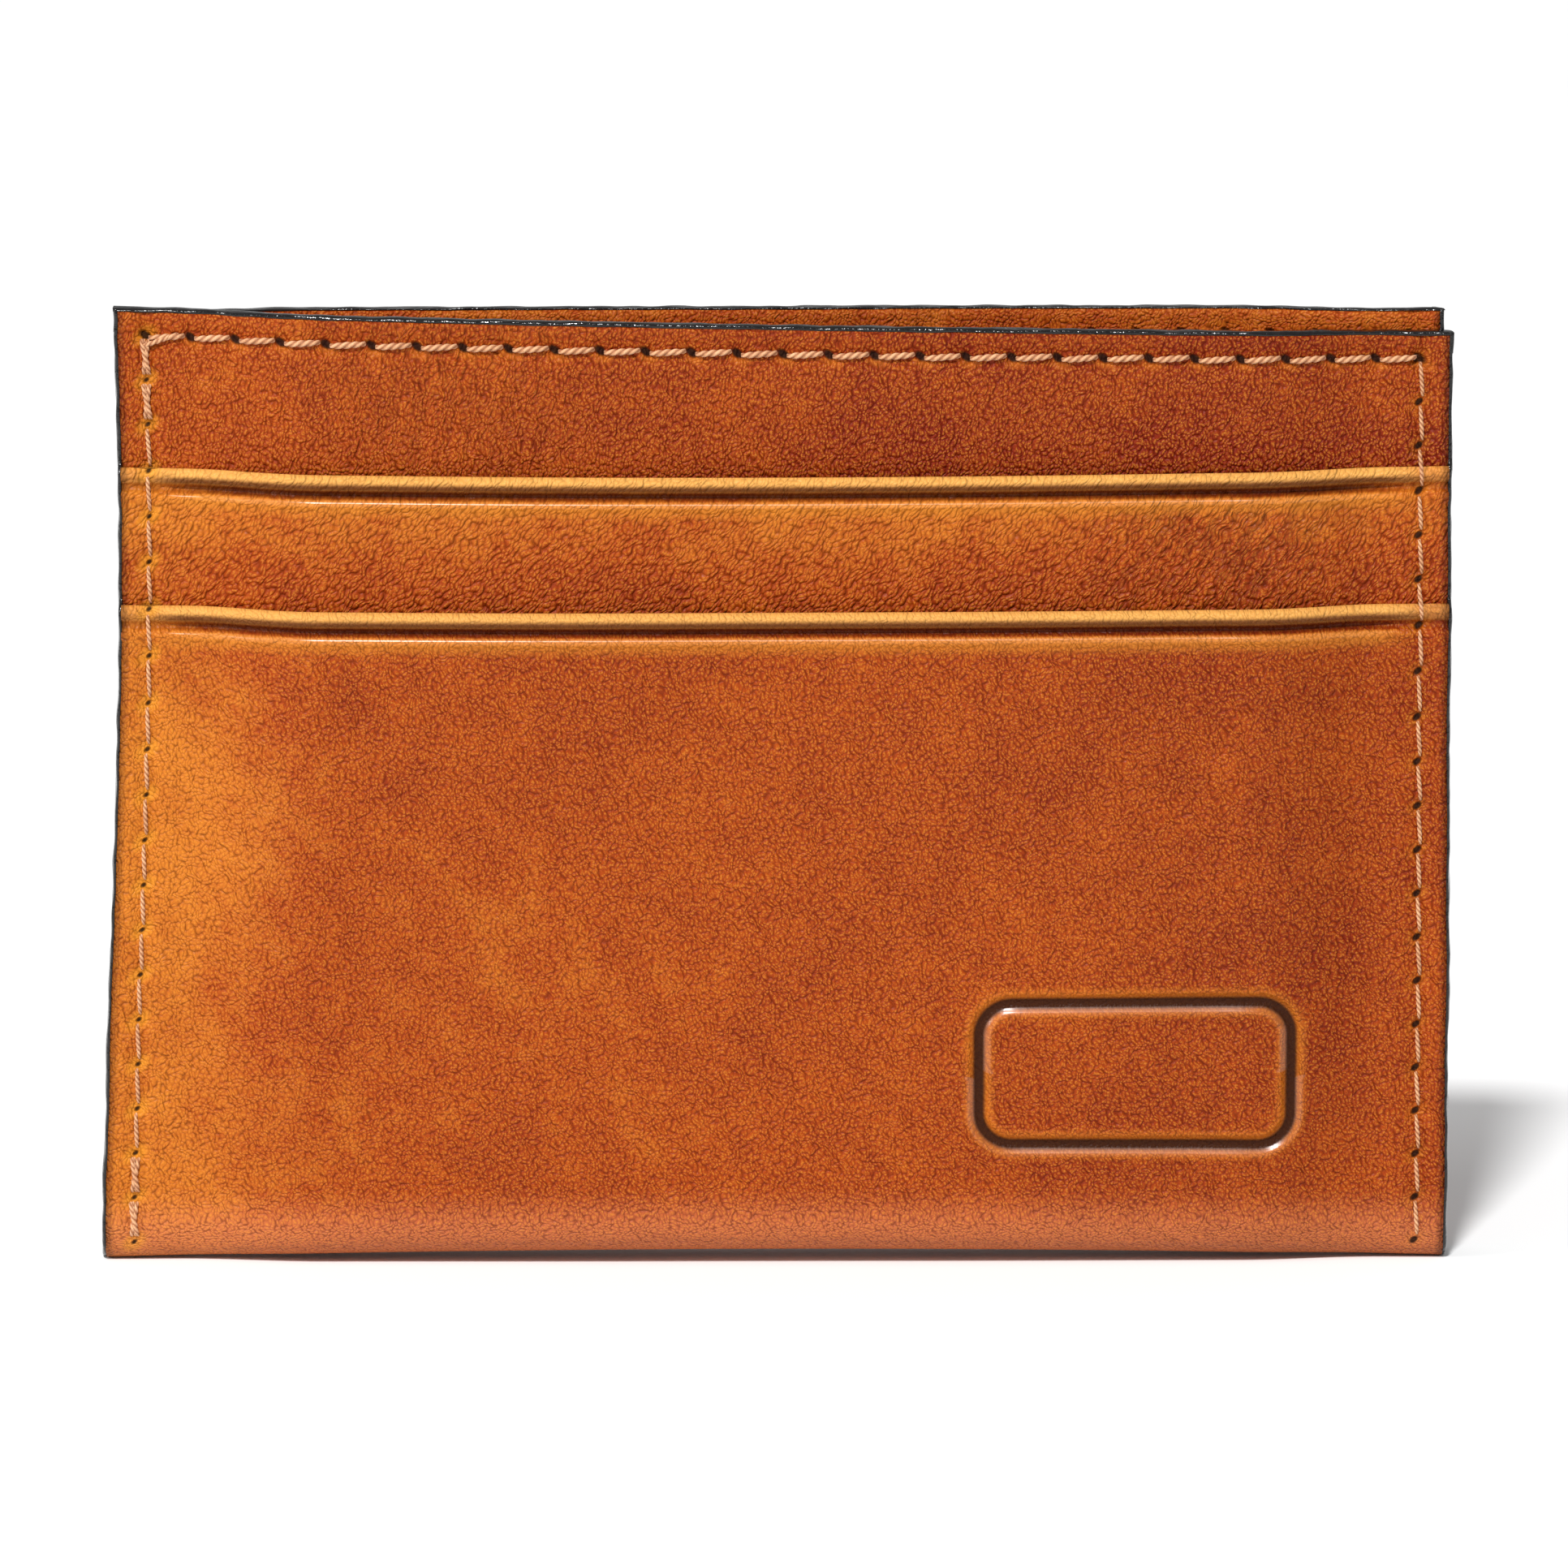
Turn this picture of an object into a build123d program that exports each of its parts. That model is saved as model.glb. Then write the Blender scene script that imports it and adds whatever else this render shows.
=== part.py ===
from build123d import *
import math
import os

os.makedirs("parts", exist_ok=True)

# A slim leather card case: two card slots on each face and a pocket between the two walls.
# Millimetres, +Z up. The case stands on its folded bottom edge, front face towards -Y.
# The origin is the middle of that fold, on the surface it stands on.

# ---------------------------------------------------------------- overall sizes
WIDTH = 102.0  # cut leather, side edge to side edge
BACK_HEIGHT = 73.6  # raw top edge of the back wall
FRONT_HEIGHT = 72.8  # raw top edge of the front wall, at mid width
FRONT_MOUTH_FALL = 2.0  # the front mouth drops this much from its left end to its right end
LOWER_MOUTH_HEIGHT = 51.0
UPPER_MOUTH_HEIGHT = 61.5

# ---------------------------------------------------------------- leathers
WRAP_LEATHER = 0.8  # outer pocket, one piece folded under the bottom
SLOT_LEATHER = 0.6
BODY_LEATHER = 0.8
LINING_LEATHER = 0.4

# ---------------------------------------------------------------- gaps
CARD_THICKNESS = 0.76  # an ID-1 card
CARD_CLEARANCE = 0.12
SEAM_SLIT = 0.1  # between the two lining walls inside the side seams
POCKET_GAP_AT_MOUTH = 5.6  # centre pocket, at mid width
POCKET_GAP_AT_FOLD = 0.8
FOLD_CLEARANCE = 0.2  # between the outer pocket's fold and the body's fold
SLOT_PANEL_FOOT = 4.0  # bottom edge of the two upper slot panels

# ---------------------------------------------------------------- seams and edges
SEAM_MARGIN = 5.0  # strip at each side where the layers are pressed together
SEAM_RAMP = 10.0  # from the pressed strip to the flat middle
FOLD_FLAT = 0.25  # half the flat left under a fold, inside the seam strip
TURNED_EDGE_ROUND = 0.22  # radius on both faces of a turned slot edge
CREASE_DEPTH = 0.15
CREASE_WIDTH = 0.7
CREASE_DROP = 1.75  # slot mouth to the upper side of its crease
PAINT_THICKNESS = 0.3
PAINT_ROUND = 0.12

# ---------------------------------------------------------------- pressed mark, a plain empty frame
MARK_WIDTH = 24.0
MARK_HEIGHT = 11.5
MARK_LINE = 0.8
MARK_CORNER = 2.6
MARK_DEPTH = 0.15
MARK_FROM_RIGHT = 24.0  # centre of the mark to the right side edge
MARK_FROM_FOLD = 15.0  # centre of the mark to the bottom of the fold

# ---------------------------------------------------------------- stitching
THREAD_RADIUS = 0.28
THREAD_LIFT = 0.2  # a straight stitch stands this far off the curved leather
BOBBIN_RADIUS = 0.2  # finer thread, inside the pocket
BOBBIN_LIFT = 0.17
LEG_RADIUS = 0.24  # the thread pulled tight inside its hole
BOBBIN_LEG_RADIUS = 0.18
HOLE_CLEARANCE = 0.12
TOP_PITCH = 3.54
TOP_INSET = 1.9  # top row to the raw top edge
TOP_END_INSET = 3.6  # first hole of a top row to the cut side edge
SIDE_PITCH = 3.45
SIDE_INSET = 2.1  # side seam to the cut side edge
SIDE_FOOT = 1.9  # lowest hole of a side seam
ANCHOR_THREAD_RADIUS = 0.15
ANCHOR_LEG_RADIUS = 0.12
ANCHOR_BED = 0.03  # room around the hidden thread in its bed
ANCHOR_PITCH = 4.0
ANCHOR_RISE = 3.0  # hidden row above the foot of its slot panel
ANCHOR_END_INSET = 18.0  # last hidden hole to the cut side edge

# ---------------------------------------------------------------- derived values
HALF_WIDTH = WIDTH / 2
CARD_GAP = CARD_THICKNESS + CARD_CLEARANCE
REACH = 1.0  # how far a cutting solid runs past what it cuts
TOP = max(BACK_HEIGHT, FRONT_HEIGHT) + FRONT_MOUTH_FALL + REACH
FAR = 40.0  # half depth of the trimming boxes, beyond every leather face
FRONT, BACK = -1, 1

# Each leather face is an envelope that runs round the case and under its fold:
# (half depth in the seam strips, half depth added to the pocket's at mid width, lowest point).


def leather_out(face, thickness):
    """The face on the other side of one leather, further out."""
    seam, extra, low = face
    return (seam + thickness, extra + thickness, low - thickness)


def gap_out(face, gap):
    """The face across a card slot, which closes to nothing in the seam strips."""
    seam, extra, low = face
    return (seam, extra + gap, low)


FOLD_STACK = WRAP_LEATHER + FOLD_CLEARANCE + BODY_LEATHER + LINING_LEATHER
LINING_INSIDE = (SEAM_SLIT / 2, 0.0, FOLD_STACK)
BODY_INSIDE = leather_out(LINING_INSIDE, LINING_LEATHER)
BODY_OUTSIDE = leather_out(BODY_INSIDE, BODY_LEATHER)
SLOT_INSIDE = gap_out(BODY_OUTSIDE, CARD_GAP)
SLOT_OUTSIDE = leather_out(SLOT_INSIDE, SLOT_LEATHER)
WRAP_INSIDE = gap_out(SLOT_OUTSIDE, CARD_GAP)[:2] + (WRAP_LEATHER,)
WRAP_OUTSIDE = leather_out(WRAP_INSIDE, WRAP_LEATHER)


def pocket_half_gap(z):
    """Half the centre pocket's opening at mid width, which widens from the fold to the mouth."""
    widening = (POCKET_GAP_AT_MOUTH - POCKET_GAP_AT_FOLD) * z / BACK_HEIGHT
    return (POCKET_GAP_AT_FOLD + widening) / 2


def mouth_height(side, x):
    """Raw top edge of a wall: the back one is level and the front one falls to the right."""
    if side == BACK:
        return BACK_HEIGHT
    return FRONT_HEIGHT - FRONT_MOUTH_FALL * x / WIDTH


def half_depth(face, x, z):
    """Half depth of an envelope at a point: seam strip, two tangent arcs, flat middle."""
    seam, extra, _ = face
    middle = pocket_half_gap(z) + extra
    rise = middle - seam
    along = HALF_WIDTH - SEAM_MARGIN - abs(x)
    radius = (SEAM_RAMP**2 + rise**2) / (4 * rise)
    if along <= 0:
        return seam
    if along <= SEAM_RAMP / 2:
        return seam + radius - math.sqrt(radius**2 - along**2)
    if along < SEAM_RAMP:
        return middle - radius + math.sqrt(radius**2 - (SEAM_RAMP - along) ** 2)
    return middle


# ---------------------------------------------------------------- solids for leather faces
def plan(face, z):
    """Closed plan outline of an envelope at one height."""
    seam, extra, _ = face
    middle = pocket_half_gap(z) + extra
    end = -HALF_WIDTH - REACH
    strip = -HALF_WIDTH + SEAM_MARGIN
    flat = strip + SEAM_RAMP
    halfway = ((strip + flat) / 2, -(seam + middle) / 2)
    with BuildSketch(Plane.XY.offset(z)) as sketch:
        with BuildLine():
            Polyline((end, 0), (end, -seam), (strip, -seam))
            TangentArc((strip, -seam), halfway, tangent=(1, 0))
            TangentArc((flat, -middle), halfway, tangent=(-1, 0))
            Line((flat, -middle), (0, -middle))
            mirror(about=Plane.YZ)
            mirror(about=Plane.XZ)
        make_face()
    return sketch.sketch


def envelope(face):
    """Solid within a leather face, with its bottom edges rounded into the fold."""
    seam, _, low = face
    solid = loft([plan(face, low), plan(face, TOP)], ruled=True)
    radius = seam - FOLD_FLAT
    if radius <= 0:
        return solid
    bottom = solid.edges().group_by(Axis.Z)[0]
    long_edges = [edge for edge in bottom if abs(edge.center().X) < HALF_WIDTH]
    return fillet(long_edges, radius)


def slab(x_limits, y_limits, z_limits):
    """Box given by its limits."""
    limits = (x_limits, y_limits, z_limits)
    centre = [(low + high) / 2 for low, high in limits]
    return Pos(*centre) * Box(*[high - low for low, high in limits])


def width_slab(y_limits, z_limits):
    """Box as wide as the cut leather."""
    return slab((-HALF_WIDTH, HALF_WIDTH), y_limits, z_limits)


def under_mouth(side, lift=0.0):
    """Everything on one side of the case below the raw top edge of that wall."""
    reach = HALF_WIDTH + REACH
    corners = [
        (-reach, -REACH),
        (reach, -REACH),
        (reach, mouth_height(side, reach) + lift),
        (-reach, mouth_height(side, -reach) + lift),
    ]
    outline = make_face(Polyline(*corners, close=True))
    return extrude(Plane.XZ * outline, amount=-side * FAR)


def below_mouths(solid):
    """Trims a solid to the raw top edges of both walls."""
    return solid & (under_mouth(FRONT) + under_mouth(BACK))


def turned_edge(leather, mouth):
    """Rounds both faces of a slot edge where the leather is turned over."""
    rim = [edge for edge in leather.edges() if abs(edge.center().Z - mouth) < 1e-3]
    long_rim = [edge for edge in rim if abs(edge.center().X) < HALF_WIDTH - 1e-3]
    return fillet(long_rim, TURNED_EDGE_ROUND)


def pressed(tool, face, depth):
    """What a tool presses out of a leather when it sinks to one depth below its outer face."""
    seam, extra, low = face
    return tool - envelope((seam - depth, extra - depth, low))


def crease(face, mouth):
    """Crease line around the outside of a leather, just under its slot mouth."""
    high = mouth - CREASE_DROP
    band = slab((-HALF_WIDTH - REACH, HALF_WIDTH + REACH), (-FAR, FAR), (high - CREASE_WIDTH, high))
    return pressed(band, face, CREASE_DEPTH)


def pressed_mark():
    """Empty round-cornered frame pressed into the lower right of the front."""
    inner_size = (MARK_WIDTH - 2 * MARK_LINE, MARK_HEIGHT - 2 * MARK_LINE)
    frame = RectangleRounded(MARK_WIDTH, MARK_HEIGHT, MARK_CORNER)
    frame -= RectangleRounded(*inner_size, MARK_CORNER - MARK_LINE)
    placed = Plane.XZ * (Pos(HALF_WIDTH - MARK_FROM_RIGHT, MARK_FROM_FOLD) * frame)
    return pressed(extrude(placed, amount=FAR), WRAP_OUTSIDE, MARK_DEPTH)


# ---------------------------------------------------------------- seams
def evenly(start, end, pitch):
    """Hole places from start to end, as near the stated pitch as a whole number allows."""
    count = max(1, math.ceil((end - start) / pitch))
    return [start + (end - start) * step / count for step in range(count + 1)]


def side_seam_holes(side_of_x):
    """Hole heights of a side seam. One stitch straddles each slot mouth."""
    x = side_of_x * (HALF_WIDTH - SIDE_INSET)
    top = min(mouth_height(FRONT, x), mouth_height(BACK, x)) - TOP_INSET
    ends = [
        (SIDE_FOOT, LOWER_MOUTH_HEIGHT - SIDE_PITCH / 2),
        (LOWER_MOUTH_HEIGHT + SIDE_PITCH / 2, UPPER_MOUTH_HEIGHT - SIDE_PITCH / 2),
        (UPPER_MOUTH_HEIGHT + SIDE_PITCH / 2, top),
    ]
    return [(x, z) for low, high in ends for z in evenly(low, high, SIDE_PITCH)]


def top_row_holes(side):
    """Holes of the row under a wall's mouth, parallel to that mouth."""
    reach = HALF_WIDTH - TOP_END_INSET
    return [(x, mouth_height(side, x) - TOP_INSET) for x in evenly(-reach, reach, TOP_PITCH)]


def anchor_holes():
    """Holes of the hidden row that closes the foot of an upper slot."""
    reach = HALF_WIDTH - ANCHOR_END_INSET
    height = SLOT_PANEL_FOOT + ANCHOR_RISE
    return [(x, height) for x in evenly(-reach, reach, ANCHOR_PITCH)]


def seam_strip_face(z):
    """The outermost leather face in the seam strips at one height."""
    if z < LOWER_MOUTH_HEIGHT:
        return WRAP_OUTSIDE
    if z < UPPER_MOUTH_HEIGHT:
        return SLOT_OUTSIDE
    return BODY_OUTSIDE


def rod(start, end, radius):
    """Round rod between two points."""
    path = Vector(*end) - Vector(*start)
    plane = Plane(origin=start, z_dir=path)
    return Solid.make_cylinder(radius, path.length, plane)


def punches(holes, y_start, y_end, radius):
    """Round punches along Y, one for each hole."""
    return [rod((x, y_start, z), (x, y_end, z), radius) for x, z in holes]


def thread(stitches, legs, radius, leg_radius):
    """One thread: a straight stitch between each pair of holes, and a leg down each hole."""
    rods = [rod(start, end, radius) for start, end in stitches]
    rods += [rod(start, end, leg_radius) for start, end in legs]
    return rods[0].fuse(*rods[1:])


def row_thread(holes, stitch_y, end_y, radius, leg_radius):
    """Thread of a row whose stitches lie at stitch_y and whose legs end at end_y."""
    lying = [(x, stitch_y(x, z), z) for x, z in holes]
    feet = [(x, end_y(x, z), z) for x, z in holes]
    return thread(list(zip(lying, lying[1:])), list(zip(lying, feet)), radius, leg_radius)


def side_thread(holes, side):
    """Half of a side seam's lock stitch: it lies on one face and its legs meet the other half."""
    lift = THREAD_LIFT + THREAD_RADIUS
    stitches = []
    legs = []
    for (x, low), (_, high) in zip(holes, holes[1:]):
        y = side * (seam_strip_face(low)[0] + lift)
        stitches.append(((x, y, low), (x, y, high)))
        legs.append(((x, y, high), (x, 0, high)))
    x, low = holes[0]
    legs.append(((x, stitches[0][0][1], low), (x, 0, low)))
    return thread(stitches, legs, THREAD_RADIUS, LEG_RADIUS)


def top_threads(side):
    """Needle and bobbin threads of a mouth row; the bobbin thread lies inside the pocket.

    It stops where the walls come together in the seam strips and leave it no room.
    """
    lift = THREAD_LIFT + THREAD_RADIUS
    inner_lift = BOBBIN_LIFT + BOBBIN_RADIUS
    holes = top_row_holes(side)
    inner = [(x, z) for x, z in holes if half_depth(LINING_INSIDE, x, z) > 2 * inner_lift]
    wall = BODY_LEATHER + LINING_LEATHER

    def outside(x, z):
        return side * (half_depth(BODY_OUTSIDE, x, z) + lift)

    def inside(x, z):
        return side * (half_depth(LINING_INSIDE, x, z) - inner_lift)

    def halfway(x, z):
        return side * (half_depth(BODY_OUTSIDE, x, z) - wall / 2)

    needle = row_thread(holes, outside, halfway, THREAD_RADIUS, LEG_RADIUS)
    bobbin = row_thread(inner, inside, halfway, BOBBIN_RADIUS, BOBBIN_LEG_RADIUS)
    return needle, bobbin


def anchor_threads(side):
    """Hidden threads that join the foot of an upper slot panel to the body."""
    clear = ANCHOR_THREAD_RADIUS + ANCHOR_BED

    def outside(x, z):
        return side * (half_depth(SLOT_OUTSIDE, x, z) + clear)

    def inside(x, z):
        return side * half_depth(BODY_INSIDE, x, z)

    def halfway(x, z):
        return side * half_depth(BODY_OUTSIDE, x, z)

    sizes = (ANCHOR_THREAD_RADIUS, ANCHOR_LEG_RADIUS)
    holes = anchor_holes()
    return [row_thread(holes, lying, halfway, *sizes) for lying in (outside, inside)]


def anchor_bed(side):
    """Bed pressed into body and lining for the inner thread of a hidden row."""
    holes = anchor_holes()
    (first, z), (last, _) = holes[0], holes[-1]
    room = ANCHOR_THREAD_RADIUS + ANCHOR_BED
    y = side * half_depth(BODY_INSIDE, 0, z)
    return slab((first - room, last + room), (y - room, y + room), (z - room, z + room))


# ---------------------------------------------------------------- hole tools
HOLE_RADIUS = LEG_RADIUS + HOLE_CLEARANCE
ANCHOR_HOLE_RADIUS = ANCHOR_LEG_RADIUS + HOLE_CLEARANCE
LEFT_HOLES = side_seam_holes(-1)
RIGHT_HOLES = side_seam_holes(1)
SIDE_PUNCHES = punches(LEFT_HOLES + RIGHT_HOLES, -FAR, FAR, HOLE_RADIUS)
TOP_PUNCHES = [
    punch for side in (FRONT, BACK) for punch in punches(top_row_holes(side), 0, side * FAR, HOLE_RADIUS)
]
ANCHOR_PUNCHES = {
    side: punches(anchor_holes(), side * half_depth(BODY_INSIDE, 0, 0), side * FAR, ANCHOR_HOLE_RADIUS)
    for side in (FRONT, BACK)
}


# ---------------------------------------------------------------- leather pieces
def outer_pocket_wrap():
    """Outer pocket of both faces in one piece, folded under the bottom."""
    leather = envelope(WRAP_OUTSIDE) - envelope(WRAP_INSIDE)
    leather = leather & width_slab((-FAR, FAR), (-REACH, LOWER_MOUTH_HEIGHT))
    leather = turned_edge(leather, LOWER_MOUTH_HEIGHT)
    return leather - crease(WRAP_OUTSIDE, LOWER_MOUTH_HEIGHT) - pressed_mark() - SIDE_PUNCHES


def upper_slot_panel(side):
    """Panel of one upper card slot; its foot is hidden behind the outer pocket."""
    leather = envelope(SLOT_OUTSIDE) - envelope(SLOT_INSIDE)
    y_limits = sorted((0, side * FAR))
    leather = leather & width_slab(y_limits, (SLOT_PANEL_FOOT, UPPER_MOUTH_HEIGHT))
    leather = turned_edge(leather, UPPER_MOUTH_HEIGHT)
    return leather - crease(SLOT_OUTSIDE, UPPER_MOUTH_HEIGHT) - SIDE_PUNCHES - ANCHOR_PUNCHES[side]


def body_layer(outside, inside):
    """A leather that makes both walls and the fold between them, up to the raw top edges."""
    leather = (envelope(outside) - envelope(inside)) & width_slab((-FAR, FAR), (-REACH, TOP))
    leather = below_mouths(leather) - SIDE_PUNCHES - TOP_PUNCHES
    return leather - anchor_bed(FRONT) - anchor_bed(BACK)


def body_shell():
    """Visible walls above the slots, continuous down behind them."""
    return body_layer(BODY_OUTSIDE, BODY_INSIDE) - ANCHOR_PUNCHES[FRONT] - ANCHOR_PUNCHES[BACK]


def pocket_lining():
    """Thin leather lining of the centre pocket."""
    return body_layer(BODY_INSIDE, LINING_INSIDE)


# ---------------------------------------------------------------- edge paint
def side_edge_paint(side_of_x):
    """Bead of edge paint over the cut side edges of every layer."""
    below_lower = slab((-WIDTH, WIDTH), (-FAR, FAR), (0, LOWER_MOUTH_HEIGHT))
    below_upper = slab((-WIDTH, WIDTH), (-FAR, FAR), (SLOT_PANEL_FOOT, UPPER_MOUTH_HEIGHT))
    stack = (envelope(WRAP_OUTSIDE) & below_lower) + (envelope(SLOT_OUTSIDE) & below_upper)
    stack += below_mouths(envelope(BODY_OUTSIDE))
    ends = sorted((side_of_x * HALF_WIDTH, side_of_x * (HALF_WIDTH + PAINT_THICKNESS)))
    bead = stack & slab(ends, (-FAR, FAR), (-REACH, TOP))
    rim = bead.faces().sort_by(Axis.X)[-1 if side_of_x > 0 else 0].edges()
    return fillet(rim, PAINT_ROUND)


def mouth_edge_paint(side):
    """Bead of edge paint along the raw top edge of one wall."""
    reach = HALF_WIDTH + PAINT_THICKNESS
    wall = (envelope(BODY_OUTSIDE) - envelope(LINING_INSIDE)) & slab((-reach, reach), (-FAR, FAR), (0, TOP))
    bead = (wall & under_mouth(side, PAINT_THICKNESS)) - under_mouth(side)
    top_edges = bead.faces().sort_by(Axis.Z)[-1].edges()
    return fillet(top_edges, PAINT_ROUND)


# ---------------------------------------------------------------- the whole case
def pieces():
    """Every named piece of the case."""
    front_needle, front_bobbin = top_threads(FRONT)
    back_needle, back_bobbin = top_threads(BACK)
    return {
        "outer_pocket_wrap": outer_pocket_wrap(),
        "front_upper_slot_panel": upper_slot_panel(FRONT),
        "back_upper_slot_panel": upper_slot_panel(BACK),
        "body_shell": body_shell(),
        "centre_pocket_lining": pocket_lining(),
        "left_edge_paint": side_edge_paint(-1),
        "right_edge_paint": side_edge_paint(1),
        "front_mouth_edge_paint": mouth_edge_paint(FRONT),
        "back_mouth_edge_paint": mouth_edge_paint(BACK),
        "front_mouth_needle_thread": front_needle,
        "front_mouth_bobbin_thread": front_bobbin,
        "back_mouth_needle_thread": back_needle,
        "back_mouth_bobbin_thread": back_bobbin,
        "left_seam_needle_thread": side_thread(LEFT_HOLES, FRONT),
        "left_seam_bobbin_thread": side_thread(LEFT_HOLES, BACK),
        "right_seam_needle_thread": side_thread(RIGHT_HOLES, FRONT),
        "right_seam_bobbin_thread": side_thread(RIGHT_HOLES, BACK),
        "front_slot_anchor_threads": Compound(anchor_threads(FRONT)),
        "back_slot_anchor_threads": Compound(anchor_threads(BACK)),
    }


for name, piece in pieces().items():
    export_step(piece, f"parts/{name}.step")
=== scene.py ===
# %% [markdown]
# # A hand-stitched leather card case
# A card case is a stack of thin leathers. The outer pocket wraps under the bottom, each face
# has a second card slot behind it, and a lined body makes the wide pocket in the middle. The
# stack is pressed flat and sewn at both sides, so it is thin there and puffs out in between.
# This lesson builds every leather as a real sheet with two faces, lays twisted thread in the
# stitch holes, runs black edge paint along the cut edges, and gives the leather its grain.
# The engineering model is loaded first as a fixed frame, and every size starts from it.

import math

import bmesh
import bpy
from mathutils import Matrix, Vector, noise


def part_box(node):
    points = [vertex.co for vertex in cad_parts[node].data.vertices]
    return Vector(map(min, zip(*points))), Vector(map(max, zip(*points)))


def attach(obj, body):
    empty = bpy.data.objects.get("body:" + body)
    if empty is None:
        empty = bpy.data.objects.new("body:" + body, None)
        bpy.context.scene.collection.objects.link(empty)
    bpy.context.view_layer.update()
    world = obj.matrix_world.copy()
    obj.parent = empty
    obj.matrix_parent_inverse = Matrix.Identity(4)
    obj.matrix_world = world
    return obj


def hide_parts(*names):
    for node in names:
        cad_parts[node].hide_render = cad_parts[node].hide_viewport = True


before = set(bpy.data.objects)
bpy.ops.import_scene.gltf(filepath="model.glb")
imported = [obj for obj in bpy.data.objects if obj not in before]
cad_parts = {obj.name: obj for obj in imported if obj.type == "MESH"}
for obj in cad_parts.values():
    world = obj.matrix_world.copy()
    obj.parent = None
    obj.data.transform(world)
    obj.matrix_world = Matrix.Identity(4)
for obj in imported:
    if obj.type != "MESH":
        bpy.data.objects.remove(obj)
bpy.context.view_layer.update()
print("frame nodes:", sorted(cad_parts))

# %% [markdown]
# ## Sizes
# A leather worker thinks in millimetres, so the lesson has one constant for it. The outline
# comes from the boxes of the frame's nodes. Leather thicknesses and the gaps between the
# leathers are the maker's own choices, and they are the same as in the engineering model.

# %% Sizes
MM = 0.001
FRONT, BACK = -1, 1
LEFT, RIGHT = -1, 1


def top_of(node):
    """Height of a node's highest point."""
    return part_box(node)[1][2]


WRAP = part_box("outer_pocket_wrap")
HALF_WIDTH = WRAP[1][0]
LOWER_MOUTH = top_of("outer_pocket_wrap")
UPPER_MOUTH = top_of("front_upper_slot_panel")
SLOT_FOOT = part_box("front_upper_slot_panel")[0][2]
BACK_MOUTH = top_of("back_mouth_edge_paint") - 0.3 * MM
FRONT_MOUTH = BACK_MOUTH - 0.8 * MM
MOUTH_FALL = 2.0 * MM

WRAP_LEATHER = 0.8 * MM
SLOT_LEATHER = 0.6 * MM
BODY_LEATHER = 0.8 * MM
LINING_LEATHER = 0.4 * MM
CARD_GAP = 0.88 * MM
SEAM_SLIT = 0.1 * MM
FOLD_CLEARANCE = 0.2 * MM
POCKET_AT_FOLD = 0.8 * MM
POCKET_AT_MOUTH = 5.6 * MM
SEAM_MARGIN = 5.0 * MM
SEAM_RAMP = 11.0 * MM
SLOW_RAMP = 36.0 * MM
print("case is", round(2 * HALF_WIDTH / MM, 1), "mm wide and", round(BACK_MOUTH / MM, 1), "mm tall")

# %% [markdown]
# ## Leather faces
# Each face of a leather is a surface that starts at one mouth, runs down, turns round the fold
# and comes up on the other side. Two numbers place it: how deep it lies in the pressed seam, and
# how much deeper than the pocket's own wall it lies in the middle. Adding a leather moves both;
# adding a card's room moves only the middle. That is how the real stack behaves when it is sewn.

# %% Leather faces
def add_leather(face, thickness):
    """The face on the other side of a leather."""
    seam, extra, low = face
    return (seam + thickness, extra + thickness, low - thickness)


def add_gap(face, gap):
    """The face across a card's room."""
    seam, extra, low = face
    return (seam, extra + gap, low)


FOLD_STACK = WRAP_LEATHER + FOLD_CLEARANCE + BODY_LEATHER + LINING_LEATHER
LINING_INSIDE = (SEAM_SLIT / 2, 0.0, FOLD_STACK)
BODY_INSIDE = add_leather(LINING_INSIDE, LINING_LEATHER)
BODY_OUTSIDE = add_leather(BODY_INSIDE, BODY_LEATHER)
SLOT_INSIDE = add_gap(BODY_OUTSIDE, CARD_GAP)
SLOT_OUTSIDE = add_leather(SLOT_INSIDE, SLOT_LEATHER)
WRAP_INSIDE = add_gap(SLOT_OUTSIDE, CARD_GAP)[:2] + (WRAP_LEATHER,)
WRAP_OUTSIDE = add_leather(WRAP_INSIDE, WRAP_LEATHER)


def smooth(value, low, high):
    """0 below low, 1 above high and an even curve between them."""
    share = min(1.0, max(0.0, (value - low) / (high - low)))
    return share * share * (3 - 2 * share)


def bump_at(value, centre, width):
    """A soft hill of height 1."""
    return math.exp(-(((value - centre) / width) ** 2))


def depth_of(face, x, z):
    """How far a face lies from the middle plane of the case."""
    seam, extra, _ = face
    pocket = POCKET_AT_FOLD + (POCKET_AT_MOUTH - POCKET_AT_FOLD) * max(z, 0) / BACK_MOUTH
    inner = HALF_WIDTH - SEAM_MARGIN - abs(x)
    rise = 0.72 * smooth(inner, 0, SEAM_RAMP) + 0.28 * smooth(inner, 0, SLOW_RAMP)
    return seam + (pocket / 2 + extra - seam) * rise


def mouth_of(side, x):
    """Raw top edge of a wall. The front one was cut a little out of level."""
    if side == BACK:
        return BACK_MOUTH
    return FRONT_MOUTH - MOUTH_FALL * x / (2 * HALF_WIDTH)


# %% [markdown]
# ## The hand of the maker
# A case straight from the ruler looks like plastic. A real one leans, its fold rises in the
# middle, its walls ripple and its stitches pull dimples into the leather. All pieces go through
# the same gentle bending, so they stay together: a lattice could do this, but a small function
# is exact and every piece, stitch and bead can call it.

# %% The hand of the maker
LEFT_FLARE = 1.62 * MM
RIGHT_FLARE = 0.25 * MM
TOP_DRAW = 0.32 * MM
BACK_SHIFT = 1.2 * MM
FOLD_ARCH = 0.75 * MM
RIPPLE = 0.22 * MM
END_LIFT = 0.45 * MM
LOWER_LIFT = 0.28 * MM
TOP_SPREAD = 0.1 * MM
CUT_WAVER = 0.10 * MM
SWAY = 0.5 * MM


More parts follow.
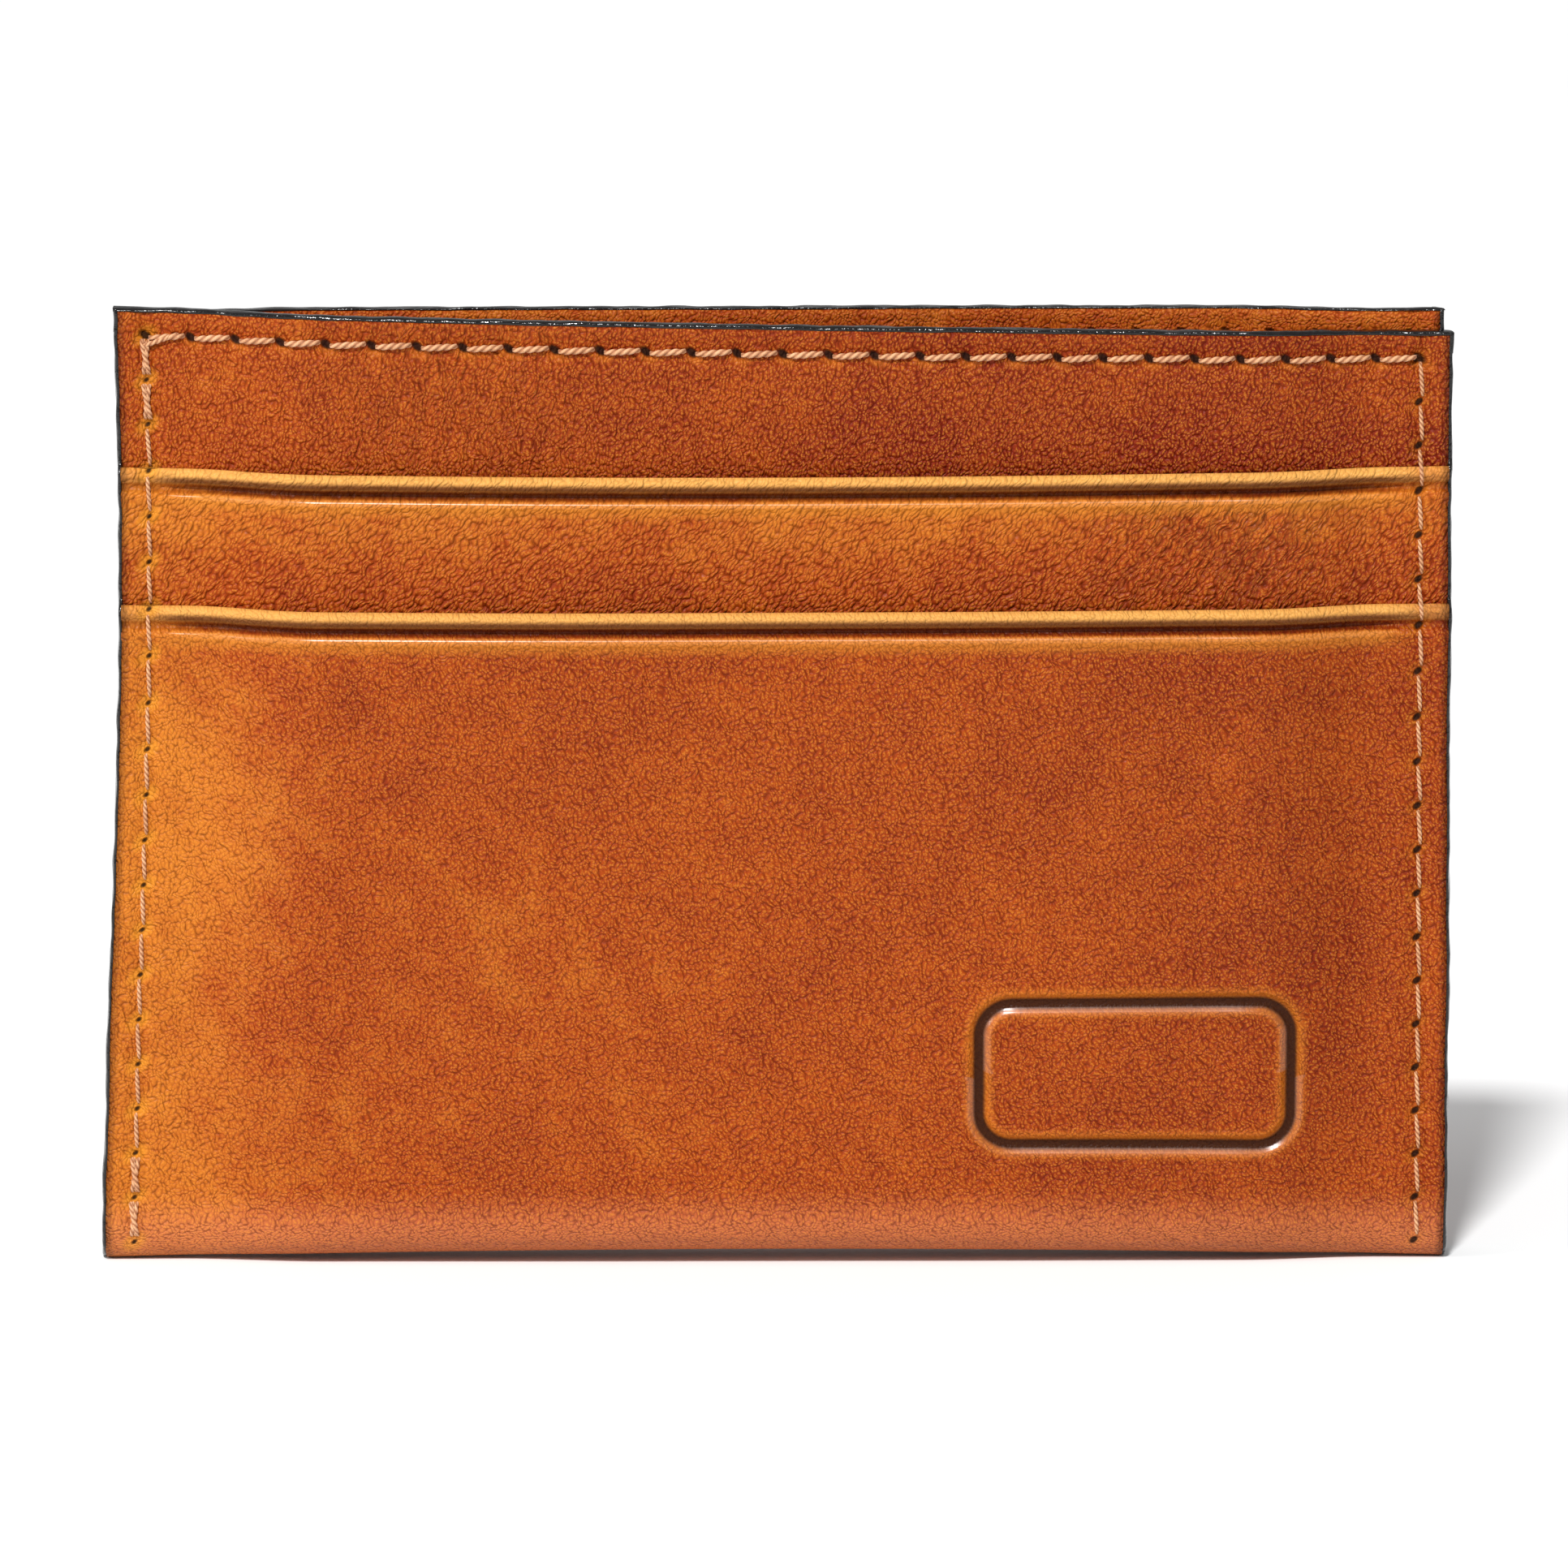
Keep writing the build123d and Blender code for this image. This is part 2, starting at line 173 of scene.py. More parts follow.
def ripple(x, z):
    """Slow waves that both faces of a wall share."""
    return noise.noise(Vector((x / (26 * MM), 4.2, z / (19 * MM)))) * RIPPLE


def side_lean(x, z):
    """How far the outline leans out: the fold's corners splay and the top is drawn in a little."""
    across = x / HALF_WIDTH
    left = max(0.0, -across)
    right = max(0.0, across)
    drawn_in = TOP_DRAW * left * bump_at(z, 56 * MM, 15 * MM)
    splayed_left = LEFT_FLARE * left * smooth(50 * MM - z, 0, 58 * MM)
    splayed_right = RIGHT_FLARE * right * smooth(60 * MM - z, 0, 50 * MM)
    spread = TOP_SPREAD * right * smooth(z, 40 * MM, 60 * MM)
    unevenness = noise.noise(Vector((across * 2.0, 1.7, z / (9 * MM))))
    lean = drawn_in - splayed_left + (splayed_right + spread)
    return lean + CUT_WAVER * unevenness * smooth(abs(across), 0.8, 1.0)


def bent(x, y, z):
    """Moves a point of the straight case to where the handmade one has it."""
    side = FRONT if y < 0 else BACK
    across = x / HALF_WIDTH
    middle = smooth(1 - abs(across), 0.02, 0.3)
    lean = side_lean(x, z)
    lean -= BACK_SHIFT * max(0.0, across) * smooth(y, -1.3 * MM, 1.3 * MM) * smooth(z, 52 * MM, 74 * MM)
    arch = FOLD_ARCH * (1 - across**2) * smooth(22 * MM - z, 0, 22 * MM)
    ends_up = END_LIFT * across**2 * bump_at(z, 63 * MM, 11 * MM)
    arch += ends_up + LOWER_LIFT * bump_at(z, 50 * MM, 7 * MM)
    sway = SWAY * math.sin(across * 2.6 + 0.4) * smooth(z, 5 * MM, 60 * MM)
    wave = side * ripple(x + side * 31 * MM, z) * smooth(z, 1.5 * MM, 9 * MM)
    return Vector((x + lean, y + (wave + sway) * middle, z + arch))


# %% [markdown]
# ## Where the stitches go
# One row runs under each mouth and one seam down each side. The holes are pricked with an iron, so they
# are evenly spaced. Each hole pulls the leather in: the dimple is modelled in the sheet, so the light
# finds it, and the dark core of the hole is painted shade in the leather's finish.

# %% Where the stitches go
TOP_INSET = 1.95 * MM
SIDE_INSET = 2.15 * MM
TOP_PITCH = 3.51 * MM
SIDE_FOOT = 1.5 * MM
SEAM_X = HALF_WIDTH - SIDE_INSET
TOP_COUNT = round(2 * SEAM_X / TOP_PITCH)
TOP_STEP = 2 * SEAM_X / TOP_COUNT
SIDE_COUNT = 20
DIMPLE = 0.30 * MM
DIMPLE_WIDTH = 0.75 * MM
SEAM_GROOVE = 0.16 * MM


def off_step(value, first, step, count):
    """Distance to the nearest of a row of evenly spaced places."""
    nearest = min(count, max(0, round((value - first) / step)))
    return abs(value - first - nearest * step)


def side_step(x):
    """Stitch length of a side seam: it is spaced to end in the corner hole of its side."""
    corner = mouth_of(FRONT, math.copysign(SEAM_X, x)) - TOP_INSET
    return (corner - SIDE_FOOT) / SIDE_COUNT


def side_pull(x, z):
    """How far a side seam pulls the leather in."""
    across = abs(abs(x) - SEAM_X)
    if across > 4 * MM:
        return 0.0
    along = off_step(z, SIDE_FOOT, side_step(x), SIDE_COUNT)
    hole = math.exp(-((across**2 + along**2) / DIMPLE_WIDTH**2))
    return DIMPLE * hole + SEAM_GROOVE * bump_at(across, 0, 0.7 * MM)


def top_pull(side, x, z):
    """How far the row under a mouth pulls the leather in."""
    across = abs(mouth_of(side, x) - TOP_INSET - z)
    if across > 4 * MM or abs(x) > SEAM_X + 0.5 * MM:
        return 0.0
    along = off_step(x, -SEAM_X, TOP_STEP, TOP_COUNT)
    hole = math.exp(-((across**2 + along**2) / DIMPLE_WIDTH**2))
    return DIMPLE * hole + SEAM_GROOVE * bump_at(across, 0, 0.7 * MM)


print(TOP_COUNT, "stitches under each mouth,", SIDE_COUNT, "down each side")

# %% [markdown]
# ## Turned and creased mouths
# The slot edges aren't painted. The leather is pared thin, turned over and glued, then a warm
# creasing iron draws a line along it, so the edge stands up as a round golden bead with a dark
# line under it. In the sheet this is a hill, a narrow valley and a small lip where the flat face
# begins again. It fades out where the seam presses everything flat.

# %% Turned and creased mouths
BEAD_CENTRE = 0.60 * MM
BEAD_WIDTH = 0.54 * MM
BEAD_HEIGHT = 0.34 * MM
CREASE_AT = 1.52 * MM
CREASE_WIDTH = 0.34 * MM
CREASE_DEPTH = 0.50 * MM
LIP_AT = 2.22 * MM
LIP_WIDTH = 0.46 * MM
LIP_HEIGHT = 0.26 * MM


def mouth_relief(drop, x):
    """Relief of a turned edge at a distance below its mouth."""
    if drop > 6 * MM:
        return 0.0
    full = smooth(HALF_WIDTH - abs(x), 1.0 * MM, 6.0 * MM)
    strength = 0.35 + 0.65 * full
    hill = BEAD_HEIGHT * bump_at(drop, BEAD_CENTRE, BEAD_WIDTH)
    valley = CREASE_DEPTH * bump_at(drop, CREASE_AT, CREASE_WIDTH)
    lip = LIP_HEIGHT * bump_at(drop, LIP_AT, LIP_WIDTH)
    return (hill - valley + lip) * strength


# %% [markdown]
# ## A sheet of leather
# Every leather is made the same way. A grid is created flat, as the cut hide lies on the bench:
# across is the width, and along runs from one mouth over the fold to the other. Extruding the
# whole grid gives the flesh side and the rim. Then each point is moved to its face. The flat
# place of every point stays with it, so the grain will follow the hide round the fold.
# Solidify would be quicker, but the two faces of a leather in a sewn stack aren't parallel.

# %% A sheet of leather
TURNED_STEPS = ((0, 0.45 * MM, 0.09 * MM), (0.45 * MM, 2.8 * MM, 0.12 * MM))


def even_steps(start, end, step):
    """Places from start to end, about a step apart."""
    count = max(1, round(abs(end - start) / step))
    return [start + (end - start) * i / count for i in range(count + 1)]


def joined_steps(*stretches):
    """Runs of places, each with its own step, joined without repeats."""
    places = even_steps(*stretches[0])
    for stretch in stretches[1:]:
        places += even_steps(*stretch)[1:]
    return places


def steps_back(end, *stretches):
    """The same, counted back from the far end of the hide."""
    return [end - s for s in reversed(joined_steps(*stretches))]


def new_object(name, bm):
    """Turns a bmesh into an object that rides on the case."""
    for face in bm.faces:
        face.smooth = True
    mesh = bpy.data.meshes.new(name)
    bm.to_mesh(mesh)
    bm.free()
    piece = bpy.data.objects.new(name, mesh)
    bpy.context.scene.collection.objects.link(piece)
    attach(piece, "root")
    return piece


def leather_sheet(name, widths, lengths, grain_face, flesh_face, place_on_case):
    """A closed sheet of leather between two faces."""
    bm = bmesh.new()
    bmesh.ops.create_grid(bm, x_segments=len(widths) - 1, y_segments=len(lengths) - 1, size=0.5)
    flat = bm.verts.layers.float_vector.new("flat")
    place = bm.verts.layers.float_vector.new("place")
    for vert in bm.verts:
        x = widths[round((vert.co.x + 0.5) * (len(widths) - 1))]
        s = lengths[round((vert.co.y + 0.5) * (len(lengths) - 1))]
        vert[flat] = (x / MM, s / MM, 0)
        vert[place] = place_on_case(x, s)
    back = bmesh.ops.extrude_face_region(bm, geom=bm.faces[:], use_keep_orig=True)["geom"]
    flesh = {item for item in back if isinstance(item, bmesh.types.BMVert)}
    for vert in bm.verts:
        x, s = vert[flat].x * MM, vert[flat].y * MM
        vert.co = flesh_face(x, s) if vert in flesh else grain_face(x, s)
        if vert in flesh:
            vert[flat] = (x / MM, s / MM, 1)
    bmesh.ops.recalc_face_normals(bm, faces=bm.faces[:])
    piece = new_object(name, bm)
    print(name, len(piece.data.polygons), "faces")
    return piece


# %% [markdown]
# ## The path of a leather round the fold
# A sheet that runs round the bottom needs one rule: given a distance along the hide, where on
# the case is it? Down the front the height falls, round the fold it follows a flattened half
# ring, and up the back it rises again. The half ring's depth is the face's depth at the fold.

# %% The path of a leather round the fold
FOLD_HEIGHT = 3.6 * MM


def fold_length(face):
    """Length of hide from one side's fold start to the other's."""
    return 2 * (FOLD_HEIGHT - face[2]) + 2 * depth_of(face, 0, FOLD_HEIGHT)


def on_wall(face, side, x, z):
    """Point of a face on one wall."""
    return (x, side * depth_of(face, x, z), z)


def on_fold(face, x, turn):
    """Point of a face on the fold. Turn goes from 0 at the front to 1 at the back."""
    depth = depth_of(face, x, FOLD_HEIGHT)
    height = FOLD_HEIGHT - face[2]
    angle = math.pi * turn
    squareness = 0.72
    across = math.copysign(abs(math.cos(angle)) ** squareness, math.cos(angle))
    down = math.sin(angle) ** squareness
    return (x, -across * depth, FOLD_HEIGHT - down * height)


def wall_and_fold(face, mouth, length, x, s):
    """Side, height and straight point of a face at a distance along the hide."""
    front_run = mouth(FRONT, x) - FOLD_HEIGHT
    back_run = mouth(BACK, x) - FOLD_HEIGHT
    front_share = s / length[0]
    back_share = (s - length[0] - length[1]) / length[2]
    if front_share <= 1:
        z = mouth(FRONT, x) - front_share * front_run
        return FRONT, z, on_wall(face, FRONT, x, z)
    if back_share >= 0:
        z = FOLD_HEIGHT + back_share * back_run
        return BACK, z, on_wall(face, BACK, x, z)
    turn = (s - length[0]) / length[1]
    point = on_fold(face, x, turn)
    return (FRONT if turn < 0.5 else BACK), point[2], point


# %% [markdown]
# ## Outer pocket
# One hide, cut 102 mm wide and as long as both pockets and the fold. Its rim at each mouth is
# rounded over, because the leather is turned there. A plain empty frame is pressed into the
# lower right with a warm stamp, where a maker would put a mark.

# %% Outer pocket
MARK_HALF_WIDTH = 12.0 * MM
MARK_HALF_HEIGHT = 5.75 * MM
MARK_CORNER = 2.6 * MM
MARK_LINE = 0.42 * MM
MARK_DEPTH = 0.38 * MM
MARK_X = HALF_WIDTH - 24.0 * MM
MARK_Z = 15.0 * MM
ROUND_RIM = 0.42 * MM


def mark_distance(x, z):
    """Distance to the line of the pressed frame."""
    dx = abs(x - MARK_X) - MARK_HALF_WIDTH + MARK_CORNER
    dz = abs(z - MARK_Z) - MARK_HALF_HEIGHT + MARK_CORNER
    outside = math.hypot(max(dx, 0), max(dz, 0))
    return abs(outside + min(max(dx, dz), 0) - MARK_CORNER)


def mark_relief(side, x, z):
    """How deep the stamp pressed the frame, with the leather pushed up beside it."""
    if side == BACK:
        return 0.0
    away = mark_distance(x, z)
    pressed = 1 - smooth(away, MARK_LINE * 0.35, MARK_LINE * 1.9)
    swollen = bump_at(away, MARK_LINE * 2.4, MARK_LINE * 0.8)
    return -MARK_DEPTH * pressed + 0.05 * MM * swollen


def lower_mouth(side, x):
    """Mouth height of the outer pocket, level on both sides."""
    return LOWER_MOUTH


def rounded(drop, leather):
    """How far each face turns in where a mouth is rounded over."""
    rim = math.sqrt(max(0.0, 1 - (1 - min(1.0, drop / ROUND_RIM)) ** 2))
    return (1 - rim) * leather * 0.5


def puff(side, x, z):
    """The pocket's own fullness: a soft roll beside each seam and a fuller left end."""
    inner = HALF_WIDTH - abs(x)
    roll = 0.30 * MM * bump_at(inner, 11 * MM, 4.5 * MM)
    full = 0.35 * MM * smooth(-x / HALF_WIDTH, 0.2, 0.75) * bump_at(z, 26 * MM, 20 * MM)
    return (roll + full) * smooth(inner, 5 * MM, 10 * MM) * smooth(z, 4 * MM, 14 * MM)


WRAP_RUNS = (LOWER_MOUTH - FOLD_HEIGHT, fold_length(WRAP_OUTSIDE), LOWER_MOUTH - FOLD_HEIGHT)
WRAP_LENGTH = sum(WRAP_RUNS)


def wrap_face(face, grain_side, x, s):
    """A point on either face of the outer pocket."""
    side, z, point = wall_and_fold(face, lower_mouth, WRAP_RUNS, x, s)
    drop = min(s, WRAP_LENGTH - s)
    relief = puff(side, x, z)
    if grain_side:
        relief += mouth_relief(drop, x) + mark_relief(side, x, z) - side_pull(x, z)
        relief -= rounded(drop, WRAP_LEATHER)
    else:
        relief += rounded(drop, WRAP_LEATHER)
    on_floor = smooth(z, 0.5 * MM, FOLD_HEIGHT)
    x_out, y, z_out = point
    return bent(x_out, y + side * relief * on_floor, z_out)


def wrap_place(x, s):
    """Width, drop below the mouth and height of a point of the outer pocket."""
    side, z, _ = wall_and_fold(WRAP_OUTSIDE, lower_mouth, WRAP_RUNS, x, s)
    return (x / MM, min(s, WRAP_LENGTH - s) / MM, side * z / MM)


STRIP = HALF_WIDTH - 4.6 * MM
SEAM_MESH = 0.42 * MM
MARK_MESH = 0.2 * MM
MARK_LEFT = MARK_X - MARK_HALF_WIDTH - 1 * MM
MARK_RIGHT = MARK_X + MARK_HALF_WIDTH + 1 * MM
wrap_widths = joined_steps(
    (-HALF_WIDTH, -STRIP, SEAM_MESH),
    (-STRIP, MARK_LEFT, 1.3 * MM),
    (MARK_LEFT, MARK_LEFT + 3 * MM, MARK_MESH),
    (MARK_LEFT + 3 * MM, MARK_RIGHT - 3 * MM, 0.9 * MM),
    (MARK_RIGHT - 3 * MM, MARK_RIGHT, MARK_MESH),
    (MARK_RIGHT, STRIP, 1.0 * MM),
    (STRIP, HALF_WIDTH, SEAM_MESH),
)
MARK_TOP_S = LOWER_MOUTH - MARK_Z - MARK_HALF_HEIGHT
MARK_FOOT_S = LOWER_MOUTH - MARK_Z + MARK_HALF_HEIGHT
wrap_front = joined_steps(
    *TURNED_STEPS,
    (2.8 * MM, MARK_TOP_S - 1 * MM, 0.6 * MM),
    (MARK_TOP_S - 1 * MM, MARK_TOP_S + 2.6 * MM, MARK_MESH),
    (MARK_TOP_S + 2.6 * MM, MARK_FOOT_S - 2.6 * MM, 0.55 * MM),
    (MARK_FOOT_S - 2.6 * MM, MARK_FOOT_S + 1 * MM, MARK_MESH),
    (MARK_FOOT_S + 1 * MM, WRAP_RUNS[0], 0.6 * MM),
)
wrap_back = steps_back(
    WRAP_LENGTH, TURNED_STEPS[0], (0.45 * MM, 2.6 * MM, 0.14 * MM), (2.6 * MM, WRAP_RUNS[2], 0.75 * MM))
wrap_fold = even_steps(WRAP_RUNS[0], WRAP_RUNS[0] + WRAP_RUNS[1], 0.5 * MM)[1:-1]
wrap = leather_sheet(
    "outer_pocket_leather",
    wrap_widths,
    wrap_front + wrap_fold + wrap_back,
    lambda x, s: wrap_face(WRAP_OUTSIDE, True, x, s),
    lambda x, s: wrap_face(WRAP_INSIDE, False, x, s),
    wrap_place,
)
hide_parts("outer_pocket_wrap")

# %% [markdown]
# ## Upper slot panels
# Each face has a second slot: a thinner panel behind the outer pocket, with the same turned and
# creased edge. Only its top centimetre shows. The rest goes down behind the pocket to its foot,
# where a hidden row of stitches joins it to the body.

# %% Upper slot panels
HIDDEN_FROM = UPPER_MOUTH - LOWER_MOUTH + 1 * MM


def seam_strip_widths(fine, middle):
    """Widths with fine steps at both seams."""
    return joined_steps((-HALF_WIDTH, -STRIP, fine), (-STRIP, STRIP, middle), (STRIP, HALF_WIDTH, fine))


def slot_face(face, side, grain_side, x, s):
    """A point on either face of an upper slot panel."""
    z = UPPER_MOUTH - s
    relief = puff(side, x, z)
    if grain_side:
        shown = 1 - smooth(s, HIDDEN_FROM, UPPER_MOUTH - LOWER_MOUTH + 3 * MM)
        relief += (mouth_relief(s, x) - side_pull(x, z)) * shown - rounded(s, SLOT_LEATHER)
    else:
        relief += rounded(s, SLOT_LEATHER)
    x_out, y, z_out = on_wall(face, side, x, z)
    return bent(x_out, y + side * relief, z_out)


def slot_panel(name, side):
    """One upper slot panel."""
    lengths = joined_steps(
        *TURNED_STEPS,
        (2.8 * MM, HIDDEN_FROM, 0.4 * MM),
        (HIDDEN_FROM, UPPER_MOUTH - SLOT_FOOT, 2.5 * MM),
    )
    return leather_sheet(
        name,
        seam_strip_widths(SEAM_MESH, 0.8 * MM),
        lengths,
        lambda x, s: slot_face(SLOT_OUTSIDE, side, True, x, s),
        lambda x, s: slot_face(SLOT_INSIDE, side, False, x, s),
        lambda x, s: (x / MM, s / MM, side * (UPPER_MOUTH - s) / MM),
    )


panels = {}
for side, word in ((FRONT, "front"), (BACK, "back")):
    panels[side] = slot_panel(word + "_upper_slot_leather", side)
    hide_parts(word + "_upper_slot_panel")

# %% [markdown]
# ## Body and lining
# The body is the band you see above the slots. It runs down behind them, round the fold and up
# the back. A thin lining is glued inside it. Both are cut off raw at the top, ready for paint,
# and the row of stitches under the mouth goes through the two.

# %% Body and lining
def body_runs(face):
    """Lengths of hide on the front wall, the fold and the back wall."""
    return (FRONT_MOUTH - FOLD_HEIGHT, fold_length(face), BACK_MOUTH - FOLD_HEIGHT)


def body_face(face, runs, pull, x, s):
    """A point on a face of the body or its lining; pull is the share of the stitches' dimples."""
    side, z, point = wall_and_fold(face, mouth_of, runs, x, s)
    side_share = smooth(z, UPPER_MOUTH - 3 * MM, UPPER_MOUTH)
    relief = -pull * (top_pull(side, x, z) + side_pull(x, z) * side_share)
    x_out, y, z_out = point
    return bent(x_out, y + side * relief, z_out)


def body_place(face, runs, x, s):
    """Width, drop below the mouth and height of a point of the body."""
    side, z, _ = wall_and_fold(face, mouth_of, runs, x, s)
    return (x / MM, (mouth_of(side, x) - z) / MM, side * z / MM)


def body_layer(name, grain, flesh, pulls, fine):
    """A hide that makes both walls and the fold between them."""
    runs = body_runs(BODY_OUTSIDE)
    shown = FRONT_MOUTH - UPPER_MOUTH + 2 * MM
    front = joined_steps((0, 4 * MM, fine), (4 * MM, shown, 2 * fine), (shown, runs[0], 3 * MM))
    fold = even_steps(runs[0], runs[0] + runs[1], 0.8 * MM)[1:-1]
    back_shown = shown + 1 * MM
    back = steps_back(
        sum(runs), (0, 4 * MM, fine), (4 * MM, back_shown, 2 * fine), (back_shown, runs[2], 3 * MM))
    return leather_sheet(
        name,
        seam_strip_widths(fine, fine),
        front + fold + back,
        lambda x, s: body_face(grain, runs, pulls[0], x, s),
        lambda x, s: body_face(flesh, runs, pulls[1], x, s),
        lambda x, s: body_place(grain, runs, x, s),
    )


BODY_HIDE = sum(body_runs(BODY_OUTSIDE))
body = body_layer("body_leather", BODY_OUTSIDE, BODY_INSIDE, (1.0, 0.0), 0.4 * MM)
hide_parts("body_shell")
lining = body_layer("pocket_lining_leather", LINING_INSIDE, BODY_INSIDE, (-0.6, 0.0), 0.6 * MM)
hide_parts("centre_pocket_lining")

# %% [markdown]
# ## Tubes
# Thread and edge paint are both long closed skins. One helper makes them: a grid is created,
# rolled up by moving its points, welded where its edges meet and filled at both ends. A curve
# with a bevel would give a plain round tube, but thread is twisted and paint follows the steps
# of the stack, so each point is placed by a rule instead.

# %% Tubes
def add_tube(bm, along, around, place, length=1.0):
    """Adds a closed tube. place takes a share along it and an angle round it, from underneath."""
    lay = bm.verts.layers.float_vector.get("lay") or bm.verts.layers.float_vector.new("lay")
    grid = bmesh.ops.create_grid(bm, x_segments=around, y_segments=along, size=0.5)["verts"]
    for vert in grid:
        share = vert.co.y + 0.5
        turn = (vert.co.x + 0.5) * 2 * math.pi
        vert[lay] = (share * length, turn, 0)
        vert.co = place(share, turn - math.pi / 2)
    bmesh.ops.remove_doubles(bm, verts=grid, dist=1e-7)
    open_edges = [edge for edge in bm.edges if edge.is_boundary]
    bmesh.ops.holes_fill(bm, edges=open_edges, sides=around)


def finish_tubes(name, bm, slot, *nodes):
    """Makes one piece from a bmesh of tubes."""
    bmesh.ops.recalc_face_normals(bm, faces=bm.faces[:])
    piece = new_object(name, bm)
    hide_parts(*nodes)
    print(name, len(piece.data.polygons), "faces")
    return piece


def squared(value, power):
    """A sine or cosine made squarer, keeping its sign."""
    return math.copysign(abs(value) ** power, value)


def paint_waver(u, v, seed):
    """Uneven thickness of brushed paint, about -1 to 1."""
    return noise.noise(Vector((u / (1.9 * MM), v / (1.4 * MM), seed))) * 1.6


# %% [markdown]
# ## Edge paint
# Cut edges are sanded and painted in several coats, until the paint stands up as a round glossy
# bead. Up the sides it covers the whole stack, so it is widest where the outer pocket is and
# steps in at each slot mouth. It creeps a little way onto the face, and never quite evenly.

# %% Edge paint
PAINT_OVERLAP = 0.06 * MM
PAINT_WAVER = 0.05 * MM
BEAD_REACH = 0.30 * MM
BEAD_ROOT = 0.16 * MM
STARTS_AT = 0.05 * MM


def mouth_paint(name, side, node, rise, creep):
    """Bead along a raw mouth: it rises above the cut and creeps down the faces."""
    reach = HALF_WIDTH + 0.25 * MM

    def place(share, turn):
        x = -reach + 2 * reach * share
        z = mouth_of(side, x)
        near = depth_of(LINING_INSIDE, x, z)
        far = depth_of(BODY_OUTSIDE, x, z)
        waver = paint_waver(x, math.cos(turn) * MM, side + math.sin(turn)) * PAINT_WAVER
        half = (far - near) / 2 + PAINT_OVERLAP + waver * 0.5
        depth = (far + near) / 2 + half * squared(math.cos(turn), 0.62)
        up = math.sin(turn)
        lift = rise * squared(up, 0.9) if up > 0 else creep * squared(up, 0.7)
        return bent(x, side * depth, z + lift + waver)

    bm = bmesh.new()
    add_tube(bm, 300, 20, place)
    return finish_tubes(name, bm, "edge_paint", node)


def stack_depth(z):
    """Half depth of the pressed stack at a seam, with soft steps at the slot mouths."""
    step = 0.5 * MM
    depth = BODY_OUTSIDE[0]
    depth += (SLOT_OUTSIDE[0] - BODY_OUTSIDE[0]) * smooth(UPPER_MOUTH + step - z, 0, 2 * step)
    depth += (WRAP_OUTSIDE[0] - SLOT_OUTSIDE[0]) * smooth(LOWER_MOUTH + step - z, 0, 2 * step)
    below = max(0.0, 1 - z / (2.6 * MM))
    return depth * math.sqrt(max(0.02, 1 - below**2.2))


def side_paint(name, hand, node):
    """Bead up one side, splitting in two where the walls part above the last stitch."""
    x_edge = hand * HALF_WIDTH
    split = min(mouth_of(FRONT, x_edge), mouth_of(BACK, x_edge)) - 1.2 * MM

    def bead_point(z, turn, near, far):
        half = (far - near) / 2
        middle = (far + near) / 2
        y = middle + (half + PAINT_OVERLAP) * squared(math.sin(turn), 0.55)
        out = math.cos(turn)
        waver = paint_waver(z, y, hand * 3)
        reach = BEAD_ROOT * out
        if out > 0:
            reach = (BEAD_REACH + waver * PAINT_WAVER) * squared(out, 0.75)
        return bent(x_edge + hand * (reach + PAINT_WAVER * waver * 0.6), y, z)

    def lower(share, turn):
        z = STARTS_AT + (split - STARTS_AT) * share
        return bead_point(z, turn, -stack_depth(z), stack_depth(z))

    bm = bmesh.new()
    add_tube(bm, 240, 24, lower)
    lap = 0.3 * MM
    for side in (FRONT, BACK):
        top = mouth_of(side, x_edge) + 0.15 * MM
        limits = sorted((side * 0.02 * MM, side * BODY_OUTSIDE[0]))
        add_tube(bm, 12, 24, lambda share, turn: bead_point(
            split - lap + (top - split + lap) * share, turn, *limits))
    return finish_tubes(name, bm, "edge_paint", node)


painted = [
    mouth_paint("front_mouth_paint", FRONT, "front_mouth_edge_paint", 0.28 * MM, 0.13 * MM),
    mouth_paint("back_mouth_paint", BACK, "back_mouth_edge_paint", 0.16 * MM, 0.04 * MM),
    side_paint("left_side_paint", LEFT, "left_edge_paint"),
    side_paint("right_side_paint", RIGHT, "right_edge_paint"),
]

# %% [markdown]
# ## Thread
# The thread is two plies twisted together. A stitch comes up out of one hole, lies on the
# leather for a few millimetres and dives into the next. Its tube is shaped like that: two
# lobes that turn as they go, thin at both ends and sunk there. Stitches lean a little, because
# a pricking iron cuts slanted holes.

# %% Thread
PLIES = 2
PLY_STEP = 2.7
PLY_DEPTH = 0.36
SINK = 0.42 * MM


def add_stitch(bm, start, end, base, radius, lean=0.0, seed=0.0, rise=0.55, sink=SINK, rings=44):
    """Adds one stitch between two holes. base gives the leather's surface for a place."""
    (x0, z0), (x1, z1) = start, end
    length = math.hypot(x1 - x0, z1 - z0)
    along = Vector(((x1 - x0) / length, 0, (z1 - z0) / length))
    beside = Vector((-along.z, 0, along.x))
    wander = 0.3 * radius * noise.noise(Vector((seed, x0 / MM, z0 / MM)))

    def place(share, turn):
        x = x0 + (x1 - x0) * share
        z = z0 + (z1 - z0) * share
        offset = lean * (share - 0.5) * 2 + wander
        centre, out = base(x + beside.x * offset, z + beside.z * offset)
        end_dip = abs(2 * share - 1) ** 6
        lift = radius * rise - (sink + radius * rise) * end_dip
        slim = 1 - 0.45 * abs(2 * share - 1) ** 2.6
        twist = math.pi * length * share / (PLY_STEP * radius)
        ply = 1 - PLY_DEPTH + PLY_DEPTH * abs(math.cos(turn * PLIES / 2 + twist))
        size = radius * slim * ply * 1.08
        return centre + out * (lift + size * math.sin(turn)) + beside * (size * math.cos(turn))

    add_tube(bm, rings, 12, place, length / radius)


